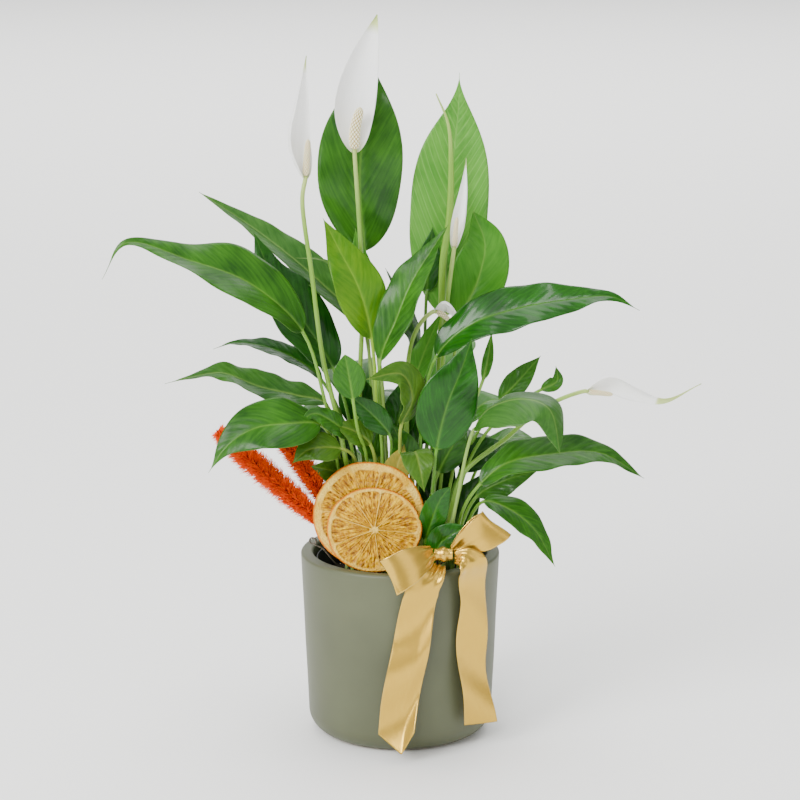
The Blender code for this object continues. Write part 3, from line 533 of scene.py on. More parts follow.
def leaf_skin(name, lit, deep, rib_colour, back, roughness, coat, vein_colour=None, vein_show=0.28):
    """Leaf tissue under a waxy skin: greens in drifts and streaks, side veins darkened with painted crease
    shade unless they have a colour of their own, and a duller, paler back.
    """
    made, shader, tree = new_material(
        name, IOR=1.42, Specular_IOR_Level=0.15, Coat_Weight=coat, Coat_Roughness=0.55 * roughness)
    vein, across, under, along, rib, height = (
        add_node(tree, "Attribute", attribute_name=key).outputs["Fac"]
        for key in ("vein", "across", "under", "along", "rib", "height"))
    place = add_node(tree, "TexCoord").outputs["Object"]
    drift = add_node(tree, "TexNoise", {"Vector": place, "Scale": 40.0, "Detail": 3.0})  # 25 mm drifts
    path = add_node(tree, "CombineXYZ", {0: vein, 1: across, 2: along})
    streak = add_node(tree, "TexNoise", {"Vector": path, "Scale": 2.6, "Detail": 4.0})
    fine = add_node(tree, "TexNoise", {"Vector": path, "Scale": 13.0, "Detail": 2.0})
    mixed = add_node(tree, "Mix", {0: 0.45, 2: drift, 3: streak})
    greens = add_node(tree, "ValToRGB", {"Fac": mixed}, stops=[(0.36, deep), (0.64, lit)])
    # Side veins: painted shade in their creases, in the leaf's deep green, unless the leaf has a paler vein
    # colour of its own
    to_vein = add_node(tree, "Math", {0: vein, 1: 0.5}, operation="PINGPONG")    # 0 on a side vein
    line = add_node(tree, "MapRange", {
        "Value": to_vein, "From Min": 0.14, "From Max": 0.0, "To Min": 0.0, "To Max": vein_show})
    margin = add_node(tree, "MapRange", {
        "Value": across, "From Min": 0.965, "From Max": 1.0, "To Min": 0.0, "To Max": 0.25})
    behind = add_node(tree, "Math", {0: under, 1: 0.7}, operation="MULTIPLY")
    fade = add_node(tree, "MapRange", {"Value": along, "To Min": 0.95, "To Max": 0.3})
    midrib = add_node(tree, "Math", {0: rib, 1: fade}, operation="MULTIPLY")
    foot = add_node(tree, "MapRange", {"Value": height, "From Max": 0.16, "To Min": 0.35, "To Max": 0.0})
    colour = greens
    layers = [(line, vein_colour or deep), (margin, rib_colour), (behind, back), (midrib, rib_colour),
              (foot, STEM_FOOT)]
    for show, over in layers:
        colour = add_node(tree, "Mix", {0: show, 6: colour, 7: linear(over)}, data_type="RGBA")
    sheen = add_node(tree, "MapRange", {
        "Value": streak, "From Min": 0.3, "From Max": 0.7,
        "To Min": roughness - 0.06, "To Max": roughness + 0.08})
    rough = add_node(tree, "Math", {0: under, 1: 0.16, 2: sheen}, operation="MULTIPLY_ADD")
    dimples = add_node(tree, "Math", {0: fine, 1: 0.6}, operation="MULTIPLY")
    ridges = add_node(tree, "Math", {0: line, 1: -0.8, 2: dimples}, operation="MULTIPLY_ADD")
    bump = add_node(tree, "Bump", {"Height": ridges, "Strength": 0.35, "Distance": 0.0003})
    feed(shader, {"Base Color": colour, "Roughness": rough, "Normal": bump})
    return made


# Name, lit and deep green, rib, back, roughness and coat, then any vein colour: more wax, sharper shine
mature = leaf_skin("mature_leaf", "346a13", "18420a", "6e9a38", "527a2a", 0.34, 0.18)
glossy = leaf_skin("glossy_dark_leaf", "1d5a0a", "0c3604", "588a28", "3b6120", 0.22, 0.28)
shaded = leaf_skin("shaded_leaf", "1b4e0c", "0b3206", "527c2c", "3a6022", 0.31, 0.2)
light = leaf_skin("light_green_leaf", "468220", "2c6712", "82aa48", "68963a", 0.38, 0.12)
pale = leaf_skin("pale_green_leaf", "5c9838", "3d7c26", "90b85e", "7ca652", 0.42, 0.1, "84b45a", 0.3)
lime = leaf_skin("young_lime_leaf", "527c08", "346506", "88ae34", "6c902a", 0.38, 0.12)
olive = leaf_skin("olive_leaf", "456818", "2c500e", "879c40", "5f7d2e", 0.38, 0.14)
mustard = leaf_skin("ageing_leaf", "857520", "5c6420", "a8a352", "867e3a", 0.48, 0.06)
bloomed = leaf_skin("leaf_with_grey_bloom", "3a6623", "214a14", "7f9e4c", "587c3a", 0.38, 0.14)

DARK, LIGHT = "leaf_dark", "leaf_light"
LEAVES = [
    # name and CAD node, root, points above the soil (stem, neck, blade, tip), neck's number, half width,
    # face, fold, skin, slot, and what sets this leaf apart
    ("leaf_left_long", (-28, 0), [(-36, -6, 60), (-49, -27, 124), (-64, -36, 176), (-97, -44, 209),
     (-136, -52, 226), (-177, -58, 238), (-192, -60, 215)], 3, 25, (0.1, -0.55, 0.8), 18, mature, DARK,
     {"wave": 1.1, "widest": 0.34, "drip": 2.1, "full": 1.3}),
    ("leaf_left_narrow", (-8, 6), [(-10, 10, 98), (-19, 12, 162), (-54, 20, 199), (-94, 32, 230),
     (-136, 40, 257)], 2, 15, (0.1, -0.45, 0.85), 25, bloomed, LIGHT,
     {"wave": 0.4, "widest": 0.4, "full": 1.6, "drip": 1.2}),
    ("leaf_left_shaded", (-23, 5), [(-33, 0, 102), (-45, -2, 144), (-67, 0, 180), (-86, 4, 208),
     (-98, 8, 235)], 2, 20, (0.3, -0.8, 0.5), 15, shaded, DARK, {"wave": 1.4}),
    ("leaf_tall_left", (-12, 14), [(-18, 28, 102), (-23, 32, 180), (-24, 32, 218), (-27, 26, 268),
     (-23, 27, 314), (-18, 32, 343)], 3, 29, (0, -1, 0.1), 12, mature, DARK,
     {"wave": 1.5, "widest": 0.48, "drip": 1.15, "quilt": 0.5, "full": 2.2}),
    ("leaf_lime", (-12, -2), [(-15, -4, 102), (-19, -6, 165), (-27, -9, 199), (-40, -8, 225),
     (-51, -4, 246)], 2, 17, (0.2, -0.95, 0.2), 15, lime, LIGHT, {"wave": 1.2}),
    ("leaf_diagonal", (-5, -8), [(-12, -16, 90), (-13, -24, 154), (-3, -22, 180), (8, -18, 206),
     (21, -12, 226), (32, -6, 242)], 2, 15, (-0.5, -0.8, 0.3), 25, mature, DARK, {}),
    ("leaf_edge_on", (10, 16), [(19, 15, 105), (16, 16, 138), (10, 18, 166), (1, 20, 188),
     (-10, 22, 208)], 2, 10, (-0.8, -0.5, 0.1), 20, shaded, DARK, {}),
    ("leaf_left_thin", (-32, 10), [(-37, 6, 100), (-53, 8, 134), (-68, 12, 146), (-92, 18, 155),
     (-114, 24, 156), (-127, 28, 151)], 2, 9, (0, -0.4, 0.9), 20, shaded, DARK, {"drip": 2.0, "wave": 0.5}),
    ("leaf_left_low", (-37, 1), [(-43, -6, 70), (-49, -15, 122), (-69, -22, 130), (-94, -26, 137),
     (-117, -31, 147), (-138, -35, 145), (-155, -37, 141)], 2, 13, (0, -0.5, 0.86), 20, bloomed, DARK,
     {"drip": 2.1, "wave": 1.2}),
    ("leaf_left_drooping", (-33, -8), [(-39, -11, 60), (-45, -23, 98), (-53, -38, 114), (-72, -53, 118),
     (-95, -59, 116), (-112, -63, 106), (-125, -66, 88)], 3, 19, (-0.1, -0.8, 0.6), 12, mature, LIGHT,
     {"widest": 0.42, "wave": 1.0, "drip": 1.9}),
    ("leaf_young_round", (-16, -9), [(-19, -12, 60), (-23, -19, 90), (-28, -36, 110), (-31, -46, 133),
     (-33, -47, 146), (-36, -48, 163)], 4, 11, (0, -1, 0.1), 15, mature, LIGHT,
     {"widest": 0.5, "drip": 0.9, "wave": 0.3, "vein_gap": 5}),
    ("leaf_olive_arching", (1, -14), [(1, -17, 60), (0, -23, 85), (0, -33, 99), (1, -46, 116), (8, -50, 134),
     (1, -54, 151), (-22, -60, 149)], 4, 12, (0.6, -0.7, 0.3), 15, olive, LIGHT, {"vein_gap": 6}),
    ("leaf_front_glossy", (18, -22), [(22, -36, 70), (24, -43, 98), (31, -47, 129), (40, -46, 152),
     (47, -44, 173)], 2, 20, (0.1, -1, 0.15), 12, glossy, DARK, {"wave": 1.1, "quilt": 0.3}),
    ("leaf_right_long", (10, -8), [(15, -14, 111), (24, -18, 155), (46, -20, 177), (79, -22, 189),
     (112, -24, 195), (139, -25, 197), (158, -26, 188)], 2, 17, (0, -0.75, 0.65), 15, glossy, DARK,
     {"wave": 1.0, "drip": 1.7, "quilt": 0.25}),
    ("leaf_tall_right", (20, 22), [(27, 28, 96), (31, 35, 173), (32, 37, 226), (35, 39, 273),
     (39, 43, 310), (40, 46, 337)], 2, 27, (0.1, -1, 0.1), 12, pale, LIGHT,
     {"widest": 0.4, "wave": 0.9, "quilt": 0.45, "drip": 2.4, "full": 3.4}),
    ("leaf_bright", (24, 8), [(32, 12, 106), (41, 16, 173), (53, 19, 202), (57, 20, 225),
     (49, 20, 247)], 2, 19, (0, -1, 0.2), 10, light, LIGHT, {"widest": 0.45, "wave": 0.5, "drip": 1.0}),
    ("leaf_right_back_small", (34, 12), [(47, 14, 84), (68, 20, 117), (79, 24, 128),
     (96, 30, 146)], 2, 8.5, (0, -0.9, 0.4), 15, mature, DARK, {"vein_gap": 5}),
    ("leaf_front_arching", (28, -26), [(33, -35, 35), (38, -46, 66), (48, -62, 116), (58, -66, 131),
     (80, -74, 139), (96, -82, 134), (103, -90, 106)], 3, 22, (0.15, -0.42, 0.9), -14, bloomed, LIGHT,
     {"wave": 1.2, "drip": 1.5, "full": 2.2}),
    ("leaf_right_low", (36, -22), [(42, -36, 55), (53, -38, 73), (71, -36, 87), (99, -32, 92),
     (133, -28, 92), (163, -26, 74)], 2, 15, (0, -0.6, 0.8), 15, mature, LIGHT, {"wave": 0.9}),
    ("leaf_right_short", (36, -2), [(42, -3, 36), (52, -4, 56), (68, -5, 66),
     (94, -6, 75)], 2, 11, (0, -0.8, 0.6), 10, mature, DARK, {"vein_gap": 6}),
    ("leaf_right_hanging", (40, -14), [(46, -18, 42), (56, -22, 57), (73, -26, 53), (90, -28, 39),
     (104, -30, 14)], 2, 12, (0.4, -0.6, 0.7), 10, mature, LIGHT, {"vein_gap": 6, "wave": 0.6}),
    ("leaf_olive_centre", (9, -19), [(9, -22, 66), (7, -32, 90), (10, -42, 96), (13, -50, 87),
     (16, -55, 72)], 2, 11, (0.1, -0.7, 0.6), 10, olive, LIGHT, {"vein_gap": 6}),
    ("leaf_olive_left", (-22, -10), [(-26, -13, 62), (-31, -21, 88), (-39, -33, 96), (-50, -41, 99),
     (-61, -46, 98), (-71, -49, 90)], 3, 11, (-0.2, -0.8, 0.5), 10, olive, LIGHT, {"vein_gap": 6}),
    ("leaf_front_lance", (-7, -14), [(-7, -17, 70), (-6, -21, 88), (-7, -31, 105), (-18, -33, 119),
     (-36, -35, 135)], 3, 9, (-0.3, -0.9, 0.3), 15, shaded, DARK, {"vein_gap": 5}),
    ("leaf_pale_lance", (4, 2), [(5, 3, 88), (6, 4, 120), (15, 4, 150), (28, 5, 182)],
     2, 9, (-0.6, -0.8, 0.1), 20, light, LIGHT, {"vein_gap": 5, "wave": 0.4}),
    ("leaf_back_left", (-18, 26), [(-22, 38, 70), (-28, 50, 105), (-36, 75, 128), (-42, 105, 122),
     (-46, 135, 100)], 2, 20, (0, -0.3, 0.95), 14, mature, DARK, {"wave": 1.2}),
    ("leaf_back_middle", (-3, 26), [(-2, 38, 60), (2, 52, 85), (6, 80, 105), (10, 112, 100),
     (12, 140, 78)], 2, 19, (0, -0.2, 0.95), 14, glossy, DARK, {"wave": 1.0}),
    ("leaf_back_right", (11, 30), [(18, 44, 72), (24, 58, 112), (32, 84, 138), (40, 112, 138),
     (46, 138, 120)], 2, 20, (0, -0.3, 0.95), 14, light, LIGHT, {"wave": 1.1}),
    ("leaf_back_low", (30, 24), [(38, 36, 50), (45, 50, 72), (50, 74, 82), (54, 98, 72),
     (56, 118, 50)], 2, 16, (0.2, -0.2, 0.95), 12, mature, DARK, {"wave": 1.0}),
]
for number, (name, *shape, own) in enumerate(LEAVES):
    grow_leaf(name.replace("leaf_", "blade_"), *shape, node=name, seed=number + 40, **own)

# Small leaves that fill the crown between the larger ones
RIM_LEAF = {"vein_gap": 6, "widest": 0.5, "drip": 0.8, "stem": 1.1, "quilt": 0.15, "wave": 0.2}
FILLERS = [
    ("filler_pale_behind", (-10, 8), [(-12, 14, 110), (-20, 16, 190), (-27, 16, 215), (-30, 17, 236)],
     2, 7, (0.2, -1, 0), 10, light, LIGHT, {"vein_gap": 5}),
    ("filler_hair_left", (-14, 4), [(-18, 8, 130), (-32, 12, 196), (-50, 14, 214), (-70, 16, 216)],
     2, 1.6, (0, -0.5, 0.8), 20, bloomed, LIGHT, {"stem": 1.1, "quilt": 0}),
    ("filler_crown_left", (-26, -4), [(-30, -12, 70), (-34, -22, 100), (-45, -34, 115), (-58, -42, 122),
     (-67, -46, 114)],
     2, 7, (0, -0.9, 0.4), 10, mature, LIGHT, {"vein_gap": 5, "stem": 1.2}),
    ("filler_dark_behind", (12, 24), [(16, 30, 120), (18, 32, 190), (20, 33, 214), (22, 34, 234)],
     2, 9, (0, -1, 0.1), 12, shaded, DARK, {}),
    ("filler_right_tip", (28, 6), [(40, 10, 90), (56, 14, 132), (60, 15, 150), (62, 16, 166)],
     2, 3.8, (0, -1, 0.1), 12, light, LIGHT, {"vein_gap": 5, "stem": 1.1}),
    ("filler_curled_right", (32, 4), [(48, 8, 80), (74, 16, 112), (96, 22, 124), (107, 24, 130),
     (106, 25, 140)],
     3, 5, (0, -0.9, 0.4), 14, mature, DARK, {"vein_gap": 5, "stem": 1.1}),
    ("filler_mustard", (2, -20), [(2, -19, 50), (-3, -23, 68), (-2, -27, 82), (3, -29, 98)],
     2, 9, (-0.1, -1, 0.2), 12, mustard, LIGHT, {"vein_gap": 5, "stem": 1.2}),
    ("filler_olive_behind", (-20, 2), [(-25, -2, 46), (-31, -8, 64), (-44, -16, 76), (-60, -24, 82)],
     2, 11, (-0.1, -1, 0.3), 12, olive, LIGHT, {"vein_gap": 6}),
    ("filler_small_glossy", (14, -30), [(17, -36, 34), (22, -42, 52), (27, -45, 65), (33, -46, 73)],
     1, 9, (0, -1, 0.2), 10, glossy, DARK, RIM_LEAF),
    ("filler_rim_glossy", (22, -32), [(23, -40, 22), (26, -44, 33), (33, -46, 40), (43, -46, 46)],
     1, 10, (0, -1, 0.3), 10, glossy, DARK, RIM_LEAF),
    ("filler_olive_low", (-14, -16), [(-15, -14, 70), (-20, -20, 96), (-30, -25, 106), (-44, -30, 112)],
     2, 9, (0.2, -0.9, 0.4), 12, olive, LIGHT, {"vein_gap": 5, "stem": 1.2}),
    ("filler_crown_a", (-20, 10), [(-22, 12, 70), (-26, 12, 100), (-30, 10, 122), (-38, 8, 146)],
     2, 13, (0.2, -1, 0.2), 10, shaded, DARK, {}),
    ("filler_crown_b", (-6, 8), [(-6, 10, 70), (-4, 10, 92), (0, 8, 112), (4, 6, 138)],
     2, 12, (-0.2, -1, 0.2), 10, shaded, DARK, {}),
    ("filler_crown_c", (6, 10), [(8, 12, 66), (12, 12, 88), (18, 10, 108), (22, 8, 132)],
     2, 13, (0.1, -1, 0.2), 10, shaded, DARK, {}),
    ("filler_crown_d", (16, 0), [(20, 0, 50), (26, -2, 72), (36, -4, 92), (46, -4, 108)],
     2, 11, (-0.1, -1, 0.3), 10, mature, DARK, {}),
    ("filler_crown_e", (-28, 2), [(-32, 0, 50), (-38, -4, 78), (-44, -8, 100), (-58, -14, 112)],
     2, 11, (-0.2, -0.9, 0.4), 12, shaded, DARK, {}),
    ("filler_crown_f", (-10, -4), [(-12, -6, 60), (-16, -12, 84), (-22, -18, 104), (-24, -20, 126)],
     2, 10, (0.3, -1, 0.2), 10, mature, DARK, {}),
    ("filler_crown_g", (30, 6), [(34, 8, 50), (42, 10, 70), (56, 12, 84), (72, 12, 90)],
     2, 11, (0.1, -0.8, 0.5), 12, shaded, DARK, {}),
    ("filler_crown_h", (8, -8), [(8, -10, 50), (7, -16, 76), (2, -22, 96), (-6, -26, 112)],
     2, 10, (0.2, -1, 0.3), 12, mature, DARK, {}),
    ("filler_crown_i", (14, 14), [(18, 16, 28), (22, 16, 44), (27, 14, 68), (31, 12, 98)],
     1, 13, (0.1, -1, 0.1), 10, shaded, DARK, {}),
    ("filler_crown_j", (30, 12), [(34, 12, 20), (38, 12, 32), (46, 10, 52), (58, 8, 70)],
     1, 12, (0.1, -1, 0.3), 10, shaded, DARK, {}),
    ("filler_side_a", (-34, 18), [(-42, 26, 50), (-54, 34, 76), (-74, 46, 92), (-96, 56, 84)],
     2, 15, (-0.2, -0.1, 0.95), 14, light, LIGHT, {}),
    ("filler_side_b", (36, 18), [(46, 26, 50), (58, 32, 74), (80, 42, 86), (104, 50, 74)],
     2, 14, (0.2, -0.1, 0.95), 14, mature, DARK, {}),
    ("filler_back_a", (-24, 20), [(-38, 34, 60), (-52, 48, 88), (-70, 66, 96), (-88, 84, 80)],
     2, 14, (-0.3, -0.1, 0.95), 14, mature, DARK, {}),
    ("filler_back_b", (22, 34), [(34, 50, 60), (44, 62, 90), (64, 78, 104), (88, 92, 92)],
     2, 15, (0.3, -0.1, 0.95), 14, light, LIGHT, {}),
    ("filler_back_c", (-8, 36), [(-12, 50, 40), (-16, 62, 60), (-22, 84, 66), (-28, 108, 48)],
     2, 13, (0, 0.2, 0.95), 14, mature, DARK, {}),
    ("filler_back_d", (6, 40), [(10, 52, 36), (14, 64, 52), (20, 86, 54), (26, 106, 36)],
     2, 12, (0, 0.2, 0.95), 14, olive, LIGHT, {}),
]
for number, (name, *shape, own) in enumerate(FILLERS):
    grow_leaf(name, *shape, seed=number + 90, **own)

# ---------------------------------------------------------------------------------------------------------
# Stems and the furled leaf: smooth, juicy green stalks with fine lengthwise ribs, and one new leaf that is
# still rolled into a spike.


def round_stem(name, points, radii, finish, node=None, sides=20, ribs=0.0, step=2.0, rib_count=9):
    """A rod along a smooth curve: rings of radius r (1 + ribs sin(rib_count a)), r taken from radii."""
    fine, _ = smooth_curve(points)
    total = distances(fine)[-1]
    lengths = np.linspace(0, total, max(8, int(total / step)))
    centre = at_lengths(fine, lengths)
    side, upper = frames(directions(fine, lengths), np.array([0.31, -0.93, 0.2]), len(lengths) // 2)
    radius = np.interp(lengths / total, np.linspace(0, 1, len(radii)), radii)[:, None]
    a = np.linspace(0, 2 * np.pi, sides, endpoint=False)[None, :]
    r = radius * (1 + ribs * np.sin(rib_count * a))
    rings = placed(centre, side, upper, r * np.cos(a), r * np.sin(a))
    marks = {"height": (lengths / total)[:, None], "spin": a + 0 * r}
    return add_surface(name, rings, finish, node, marks)


# Flower stalk: fleshy and finely dimpled, paler at the foot and the top, with a thin wax shine
stalk_skin, shader, tree = new_material("flower_stalk_skin", Roughness=0.38, IOR=1.42, Coat_Weight=0.15)
height = add_node(tree, "Attribute", attribute_name="height").outputs["Fac"]
place = add_node(tree, "TexCoord").outputs["Object"]
cloudy = add_node(tree, "TexNoise", {"Vector": place, "Scale": 90.0, "Detail": 3.0})     # 11 mm drifts
up_stalk = add_node(tree, "ValToRGB", {"Fac": height},
                    stops=[(0.0, "b9c578"), (0.3, "6f9a2c"), (0.85, "7aa634"), (1.0, "b5c870")])
shade = add_node(tree, "MapRange", {"Value": cloudy, "To Min": 0.0, "To Max": 0.5})
stalk_tone = add_node(tree, "Mix", {0: shade, 6: up_stalk, 7: linear("587f20")}, data_type="RGBA")
fibre = add_node(tree, "TexNoise", {"Vector": place, "Scale": 700.0})                    # 1.4 mm dimples
stalk_bump = add_node(tree, "Bump", {"Height": fibre, "Strength": 0.2, "Distance": 0.0002})
feed(shader, {"Base Color": stalk_tone, "Normal": stalk_bump})

furled = planted((14, 14), [
    (24, 20, 105), (28, 25, 171), (29, 26, 213), (33, 27, 240), (34, 28, 281), (32, 28, 305), (24, 27, 325)])
round_stem("rolled_new_leaf", furled, (1.6, 1.7, 1.8, 2.5, 2.2, 0.4), stalk_skin, "leaf_furled",
           ribs=0.10, rib_count=3)

# ---------------------------------------------------------------------------------------------------------
# Flowers: a white hood (spathe), cupped round a cream spadix that is studded with tiny buds. The hood is
# soft, thin and faintly veined, and its drawn-out tip stays green.

# Spathe: soft white tissue that lets a little light through and hardly shines
petal, shader, tree = new_material(
    "white_spathe_tissue", Roughness=0.5, IOR=1.4, Subsurface_Weight=0.25, Subsurface_Scale=0.003)
shader.inputs["Subsurface Radius"].default_value = (1.0, 0.9, 0.7)
along, vein = (add_node(tree, "Attribute", attribute_name=key).outputs["Fac"] for key in ("along", "vein"))
white = add_node(tree, "ValToRGB", {"Fac": along}, stops=[
    (0.0, "cfdc9c"), (0.08, "f8f8f5"), (0.86, "fafaf8"), (0.93, "c3d384"), (1.0, "86a640")])
stripe = add_node(tree, "TexNoise", {"Vector": add_node(
    tree, "CombineXYZ", {0: vein, 1: along}), "Scale": 9.0, "Detail": 2.0})
faint = add_node(tree, "MapRange", {
    "Value": stripe, "From Min": 0.45, "From Max": 0.7, "To Min": 0.0, "To Max": 0.16})
petal_tone = add_node(tree, "Mix", {0: faint, 6: white, 7: linear("d5dccb")}, data_type="RGBA")
petal_bump = add_node(tree, "Bump", {"Height": stripe, "Strength": 0.25, "Distance": 0.0003})
feed(shader, {"Base Color": petal_tone, "Normal": petal_bump})


HOOD_COLUMNS = 33
HOOD_HALF_THICKNESS = 0.16


def spathe(name, points, half_width, face, cup, node, widest, drip=1.3, roll=0.0, green_tail=0.0):
    """A hood as a closed skin: each row is an arc of cup degrees either side, which opens towards face.

    Across the row at s from -1 to 1 the arc angle is s * cup, and roll turns the left margin further in.
    The arc is as long as the blade is wide there, so a deeper cup is narrower and not larger.
    """
    fine, _ = smooth_curve(above_soil(points), 32)
    total = distances(fine)[-1]
    lengths = np.linspace(0, total, 90)
    centre = at_lengths(fine, lengths)
    side, upper = frames(directions(fine, lengths), np.array(face, float), 45)
    t = (lengths / total)[:, None]
    across = np.linspace(-1, 1, HOOD_COLUMNS)
    s = np.concatenate([across, across[::-1]])[None, :]
    out = HOOD_HALF_THICKNESS * np.repeat([1.0, -1.0], HOOD_COLUMNS)[None, :]
    width = half_width * blade_width(t, widest, drip) + 0.35
    bend = math.radians(cup)
    x = width * np.sin(bend * s) / bend
    z = width * (1 - np.cos(bend * s)) / bend
    lip = roll * ease((-s - 0.72) / 0.28) * width
    x, z = x + 0.55 * lip, z + 0.8 * lip
    soft = 0.25 * np.sin(12 * t + 3 * s) * np.abs(s) ** 2 * width / half_width
    z = z + soft + out
    greening = ease((t - 1 + green_tail) / 0.2) * (green_tail > 0) * 0.96
    return add_surface(name, placed(centre, side, upper, x, z), petal, node, {
        "along": np.maximum(t, greening), "vein": s * 3.0 + 0 * t})


# Spadix: cream buds, matt, palest on their tops, with painted shade that darkens the seams between them
buds, shader, tree = new_material(
    "cream_spadix_buds", Roughness=0.65, IOR=1.4, Subsurface_Weight=0.1, Subsurface_Scale=0.002)
crown = add_node(tree, "Attribute", attribute_name="bud").outputs["Fac"]
bud_tone_and_seam_shade = add_node(tree, "ValToRGB", {"Fac": crown},
                    stops=[(0.0, "8f7b3c"), (0.3, "d6c98f"), (0.7, "f3ecd0"), (1.0, "fbf8ec")])
feed(shader, {"Base Color": bud_tone_and_seam_shade})


def spadix(name, points, radius, node, turns):
    """A spike with buds in crossing spirals: radius plus cos(p) cos(q), where p and q wind opposite ways."""
    fine, _ = smooth_curve(above_soil(points), 32)
    total = distances(fine)[-1]
    rows = int(total * 4)
    lengths = np.linspace(0, total, rows)
    centre = at_lengths(fine, lengths)
    side, upper = frames(directions(fine, lengths), np.array([0.2, -0.95, 0.1]), rows // 2)
    t = (lengths / total)[:, None]
    a = np.linspace(0, 2 * np.pi, 12 * turns, endpoint=False)[None, :]
    rise = lengths[:, None] * turns / radius
    bud = np.abs(np.cos((turns * a + rise) / 2) * np.cos((turns * a - rise) / 2))
    body = radius * np.sqrt(np.clip(1 - (2 * t - 1) ** 6, 0.02, 1)) * (1 - 0.25 * t)
    r = body * (0.74 + 0.26 * bud**0.7)
    rings = placed(centre, side, upper, r * np.cos(a), r * np.sin(a))
    return add_surface(name, rings, buds, node, {"bud": bud})


FLOWERS = [
    {"name": "open", "root": (-16, 6), "stalk": [(-27, 4, 107), (-25, 4, 189), (-26, 4, 222), (-30, 2, 289)],
     "spathe": [(-31, 5.5, 290), (-32, 9, 316), (-25, 12, 349), (-15, 8, 379)],
     "hood": {"half_width": 15.5, "face": (0.15, -1, 0), "cup": 38, "widest": 0.36, "roll": 0.22,
              "drip": 1.05},
     "spadix": [(-30, 1.9, 291), (-29.5, 0.5, 305), (-26, -1, 319)], "thick": 4.4},
    {"name": "narrow", "root": (-26, -5),
     "stalk": [(-31, -10, 50), (-41, -26, 112), (-51, -26, 156), (-58, -22, 211), (-64, -20, 261),
               (-62, -18, 274)],
     "spathe": [(-65.5, -16, 275), (-70, -12, 298), (-66, -11, 325), (-61, -12, 354)],
     "hood": {"half_width": 13, "face": (0.55, -0.8, 0), "cup": 100, "widest": 0.3, "drip": 1.6},
     "spadix": [(-61.8, -18, 276), (-61, -17.5, 288), (-60, -17, 300)], "thick": 2.6},
    {"name": "slim", "root": (18, 2), "stalk": [(27, 3, 109), (30, 7, 170), (36, 7, 223)],
     "spathe": [(36.5, 10.6, 224), (40, 13, 240), (43, 13, 263), (44, 10, 284)],
     "hood": {"half_width": 8, "face": (-0.3, -0.95, 0), "cup": 105, "widest": 0.3, "drip": 1.6},
     "spadix": [(36.3, 7, 225), (37, 6.5, 235), (38, 6.5, 245)], "thick": 2.0},
    {"name": "nodding", "root": (0, -6),
     "stalk": [(2, -8, 70), (4, -6, 104), (5, -5, 145), (9, -4, 166), (16, -3, 178), (23, -2, 183)],
     "spathe": [(24, -1.5, 187), (30, -2, 189), (36, -3, 184), (40, -4, 174)],
     "hood": {"half_width": 6.5, "face": (-0.3, -0.5, -0.8), "cup": 60, "widest": 0.4},
     "spadix": [(24.6, -2.5, 182.6), (29, -3, 180.5), (33, -3.5, 177)], "thick": 2.3},
    {"name": "reaching", "root": (29, -18),
     "stalk": [(35, -22, 54), (43, -18, 76), (71, -12, 98), (89, -8, 113), (107, -4, 123), (125, 0, 128)],
     "spathe": [(126, 0.5, 131.5), (141, 3, 134), (159, 3, 127), (178, 4, 121), (203, 5, 132)],
     "hood": {"half_width": 9, "face": (0.1, -0.75, -0.65), "cup": 50, "widest": 0.22, "drip": 2.6,
              "green_tail": 0.55},
     "spadix": [(126.6, -0.3, 127.6), (134, -1.5, 127), (143, -2, 126)], "thick": 2.2},
]
for flower in FLOWERS:
    label = flower["name"]
    stalk_points = planted(flower["root"], flower["stalk"] + flower["spadix"][:1])    # runs into the spadix
    round_stem(f"stalk_{label}", stalk_points, (1.9, 1.6, 1.45), stalk_skin,
               f"flower_stalk_{label}", ribs=0.03)
    hood_foot = [tuple(np.array(flower["stalk"][-1]) + (0, 1.2, -1.0))]
    spathe(f"hood_{label}", hood_foot + flower["spathe"][1:], node=f"spathe_{label}", **flower["hood"])
    spadix(f"buds_{label}", flower["spadix"], flower["thick"], f"spadix_{label}", 9 if label == "open" else 7)

# ---------------------------------------------------------------------------------------------------------
# Orange slices: whole round slices dried slowly, so that the rind curls proud, the pith shrinks to a cream
# ring and the pulp sinks between its membranes into clear amber.

# Dried fruit: leathery rind, chalky pith and glassy pulp, in one finish that its marks divide
dried_orange, shader, tree = new_material("dried_orange_slice", IOR=1.45, Specular_IOR_Level=0.2)
pulp, radial, spin, peel = (
    add_node(tree, "Attribute", attribute_name=key).outputs["Fac"]
    for key in ("pulp", "radial", "spin", "peel"))
fan = add_node(tree, "CombineXYZ", {0: spin, 1: radial})
sacs = add_node(tree, "Mapping", {"Vector": fan, "Scale": (6.5, 1.1, 1.0)})
vesicle = add_node(tree, "TexVoronoi", {"Vector": sacs, "Scale": 1.6}, feature="DISTANCE_TO_EDGE")  # 3 x 6 mm
wrinkle = add_node(tree, "TexNoise", {"Vector": sacs, "Scale": 1.5, "Detail": 5.0, "Distortion": 0.6})
place = add_node(tree, "TexCoord").outputs["Object"]
patch = add_node(tree, "TexNoise", {"Vector": place, "Scale": 110.0, "Detail": 3.0})      # 9 mm patches
amber = add_node(tree, "ValToRGB", {"Fac": wrinkle},
                 stops=[(0.36, "5c3400"), (0.44, "966000"), (0.53, "bc8a00"), (0.63, "e0b200")])
deeper = add_node(tree, "MapRange", {
    "Value": patch, "From Min": 0.5, "From Max": 0.7, "To Min": 0.0, "To Max": 0.6})
flesh = add_node(tree, "Mix", {0: deeper, 6: amber, 7: linear("7c4600")}, data_type="RGBA")
skin_line = add_node(tree, "MapRange", {
    "Value": vesicle, "From Min": 0.0, "From Max": 0.08, "To Min": 0.35, "To Max": 0.0})
sacked = add_node(tree, "Mix", {0: skin_line, 6: flesh, 7: linear("dcac18")}, data_type="RGBA")
pith_tone = add_node(tree, "ValToRGB", {"Fac": patch}, stops=[(0.3, "cc9c20"), (0.65, "e6c25a")])
body = add_node(tree, "Mix", {0: pulp, 6: pith_tone, 7: sacked}, data_type="RGBA")
rind_tone = add_node(tree, "ValToRGB", {"Fac": patch}, stops=[(0.3, "b45400"), (0.7, "d07c00")])
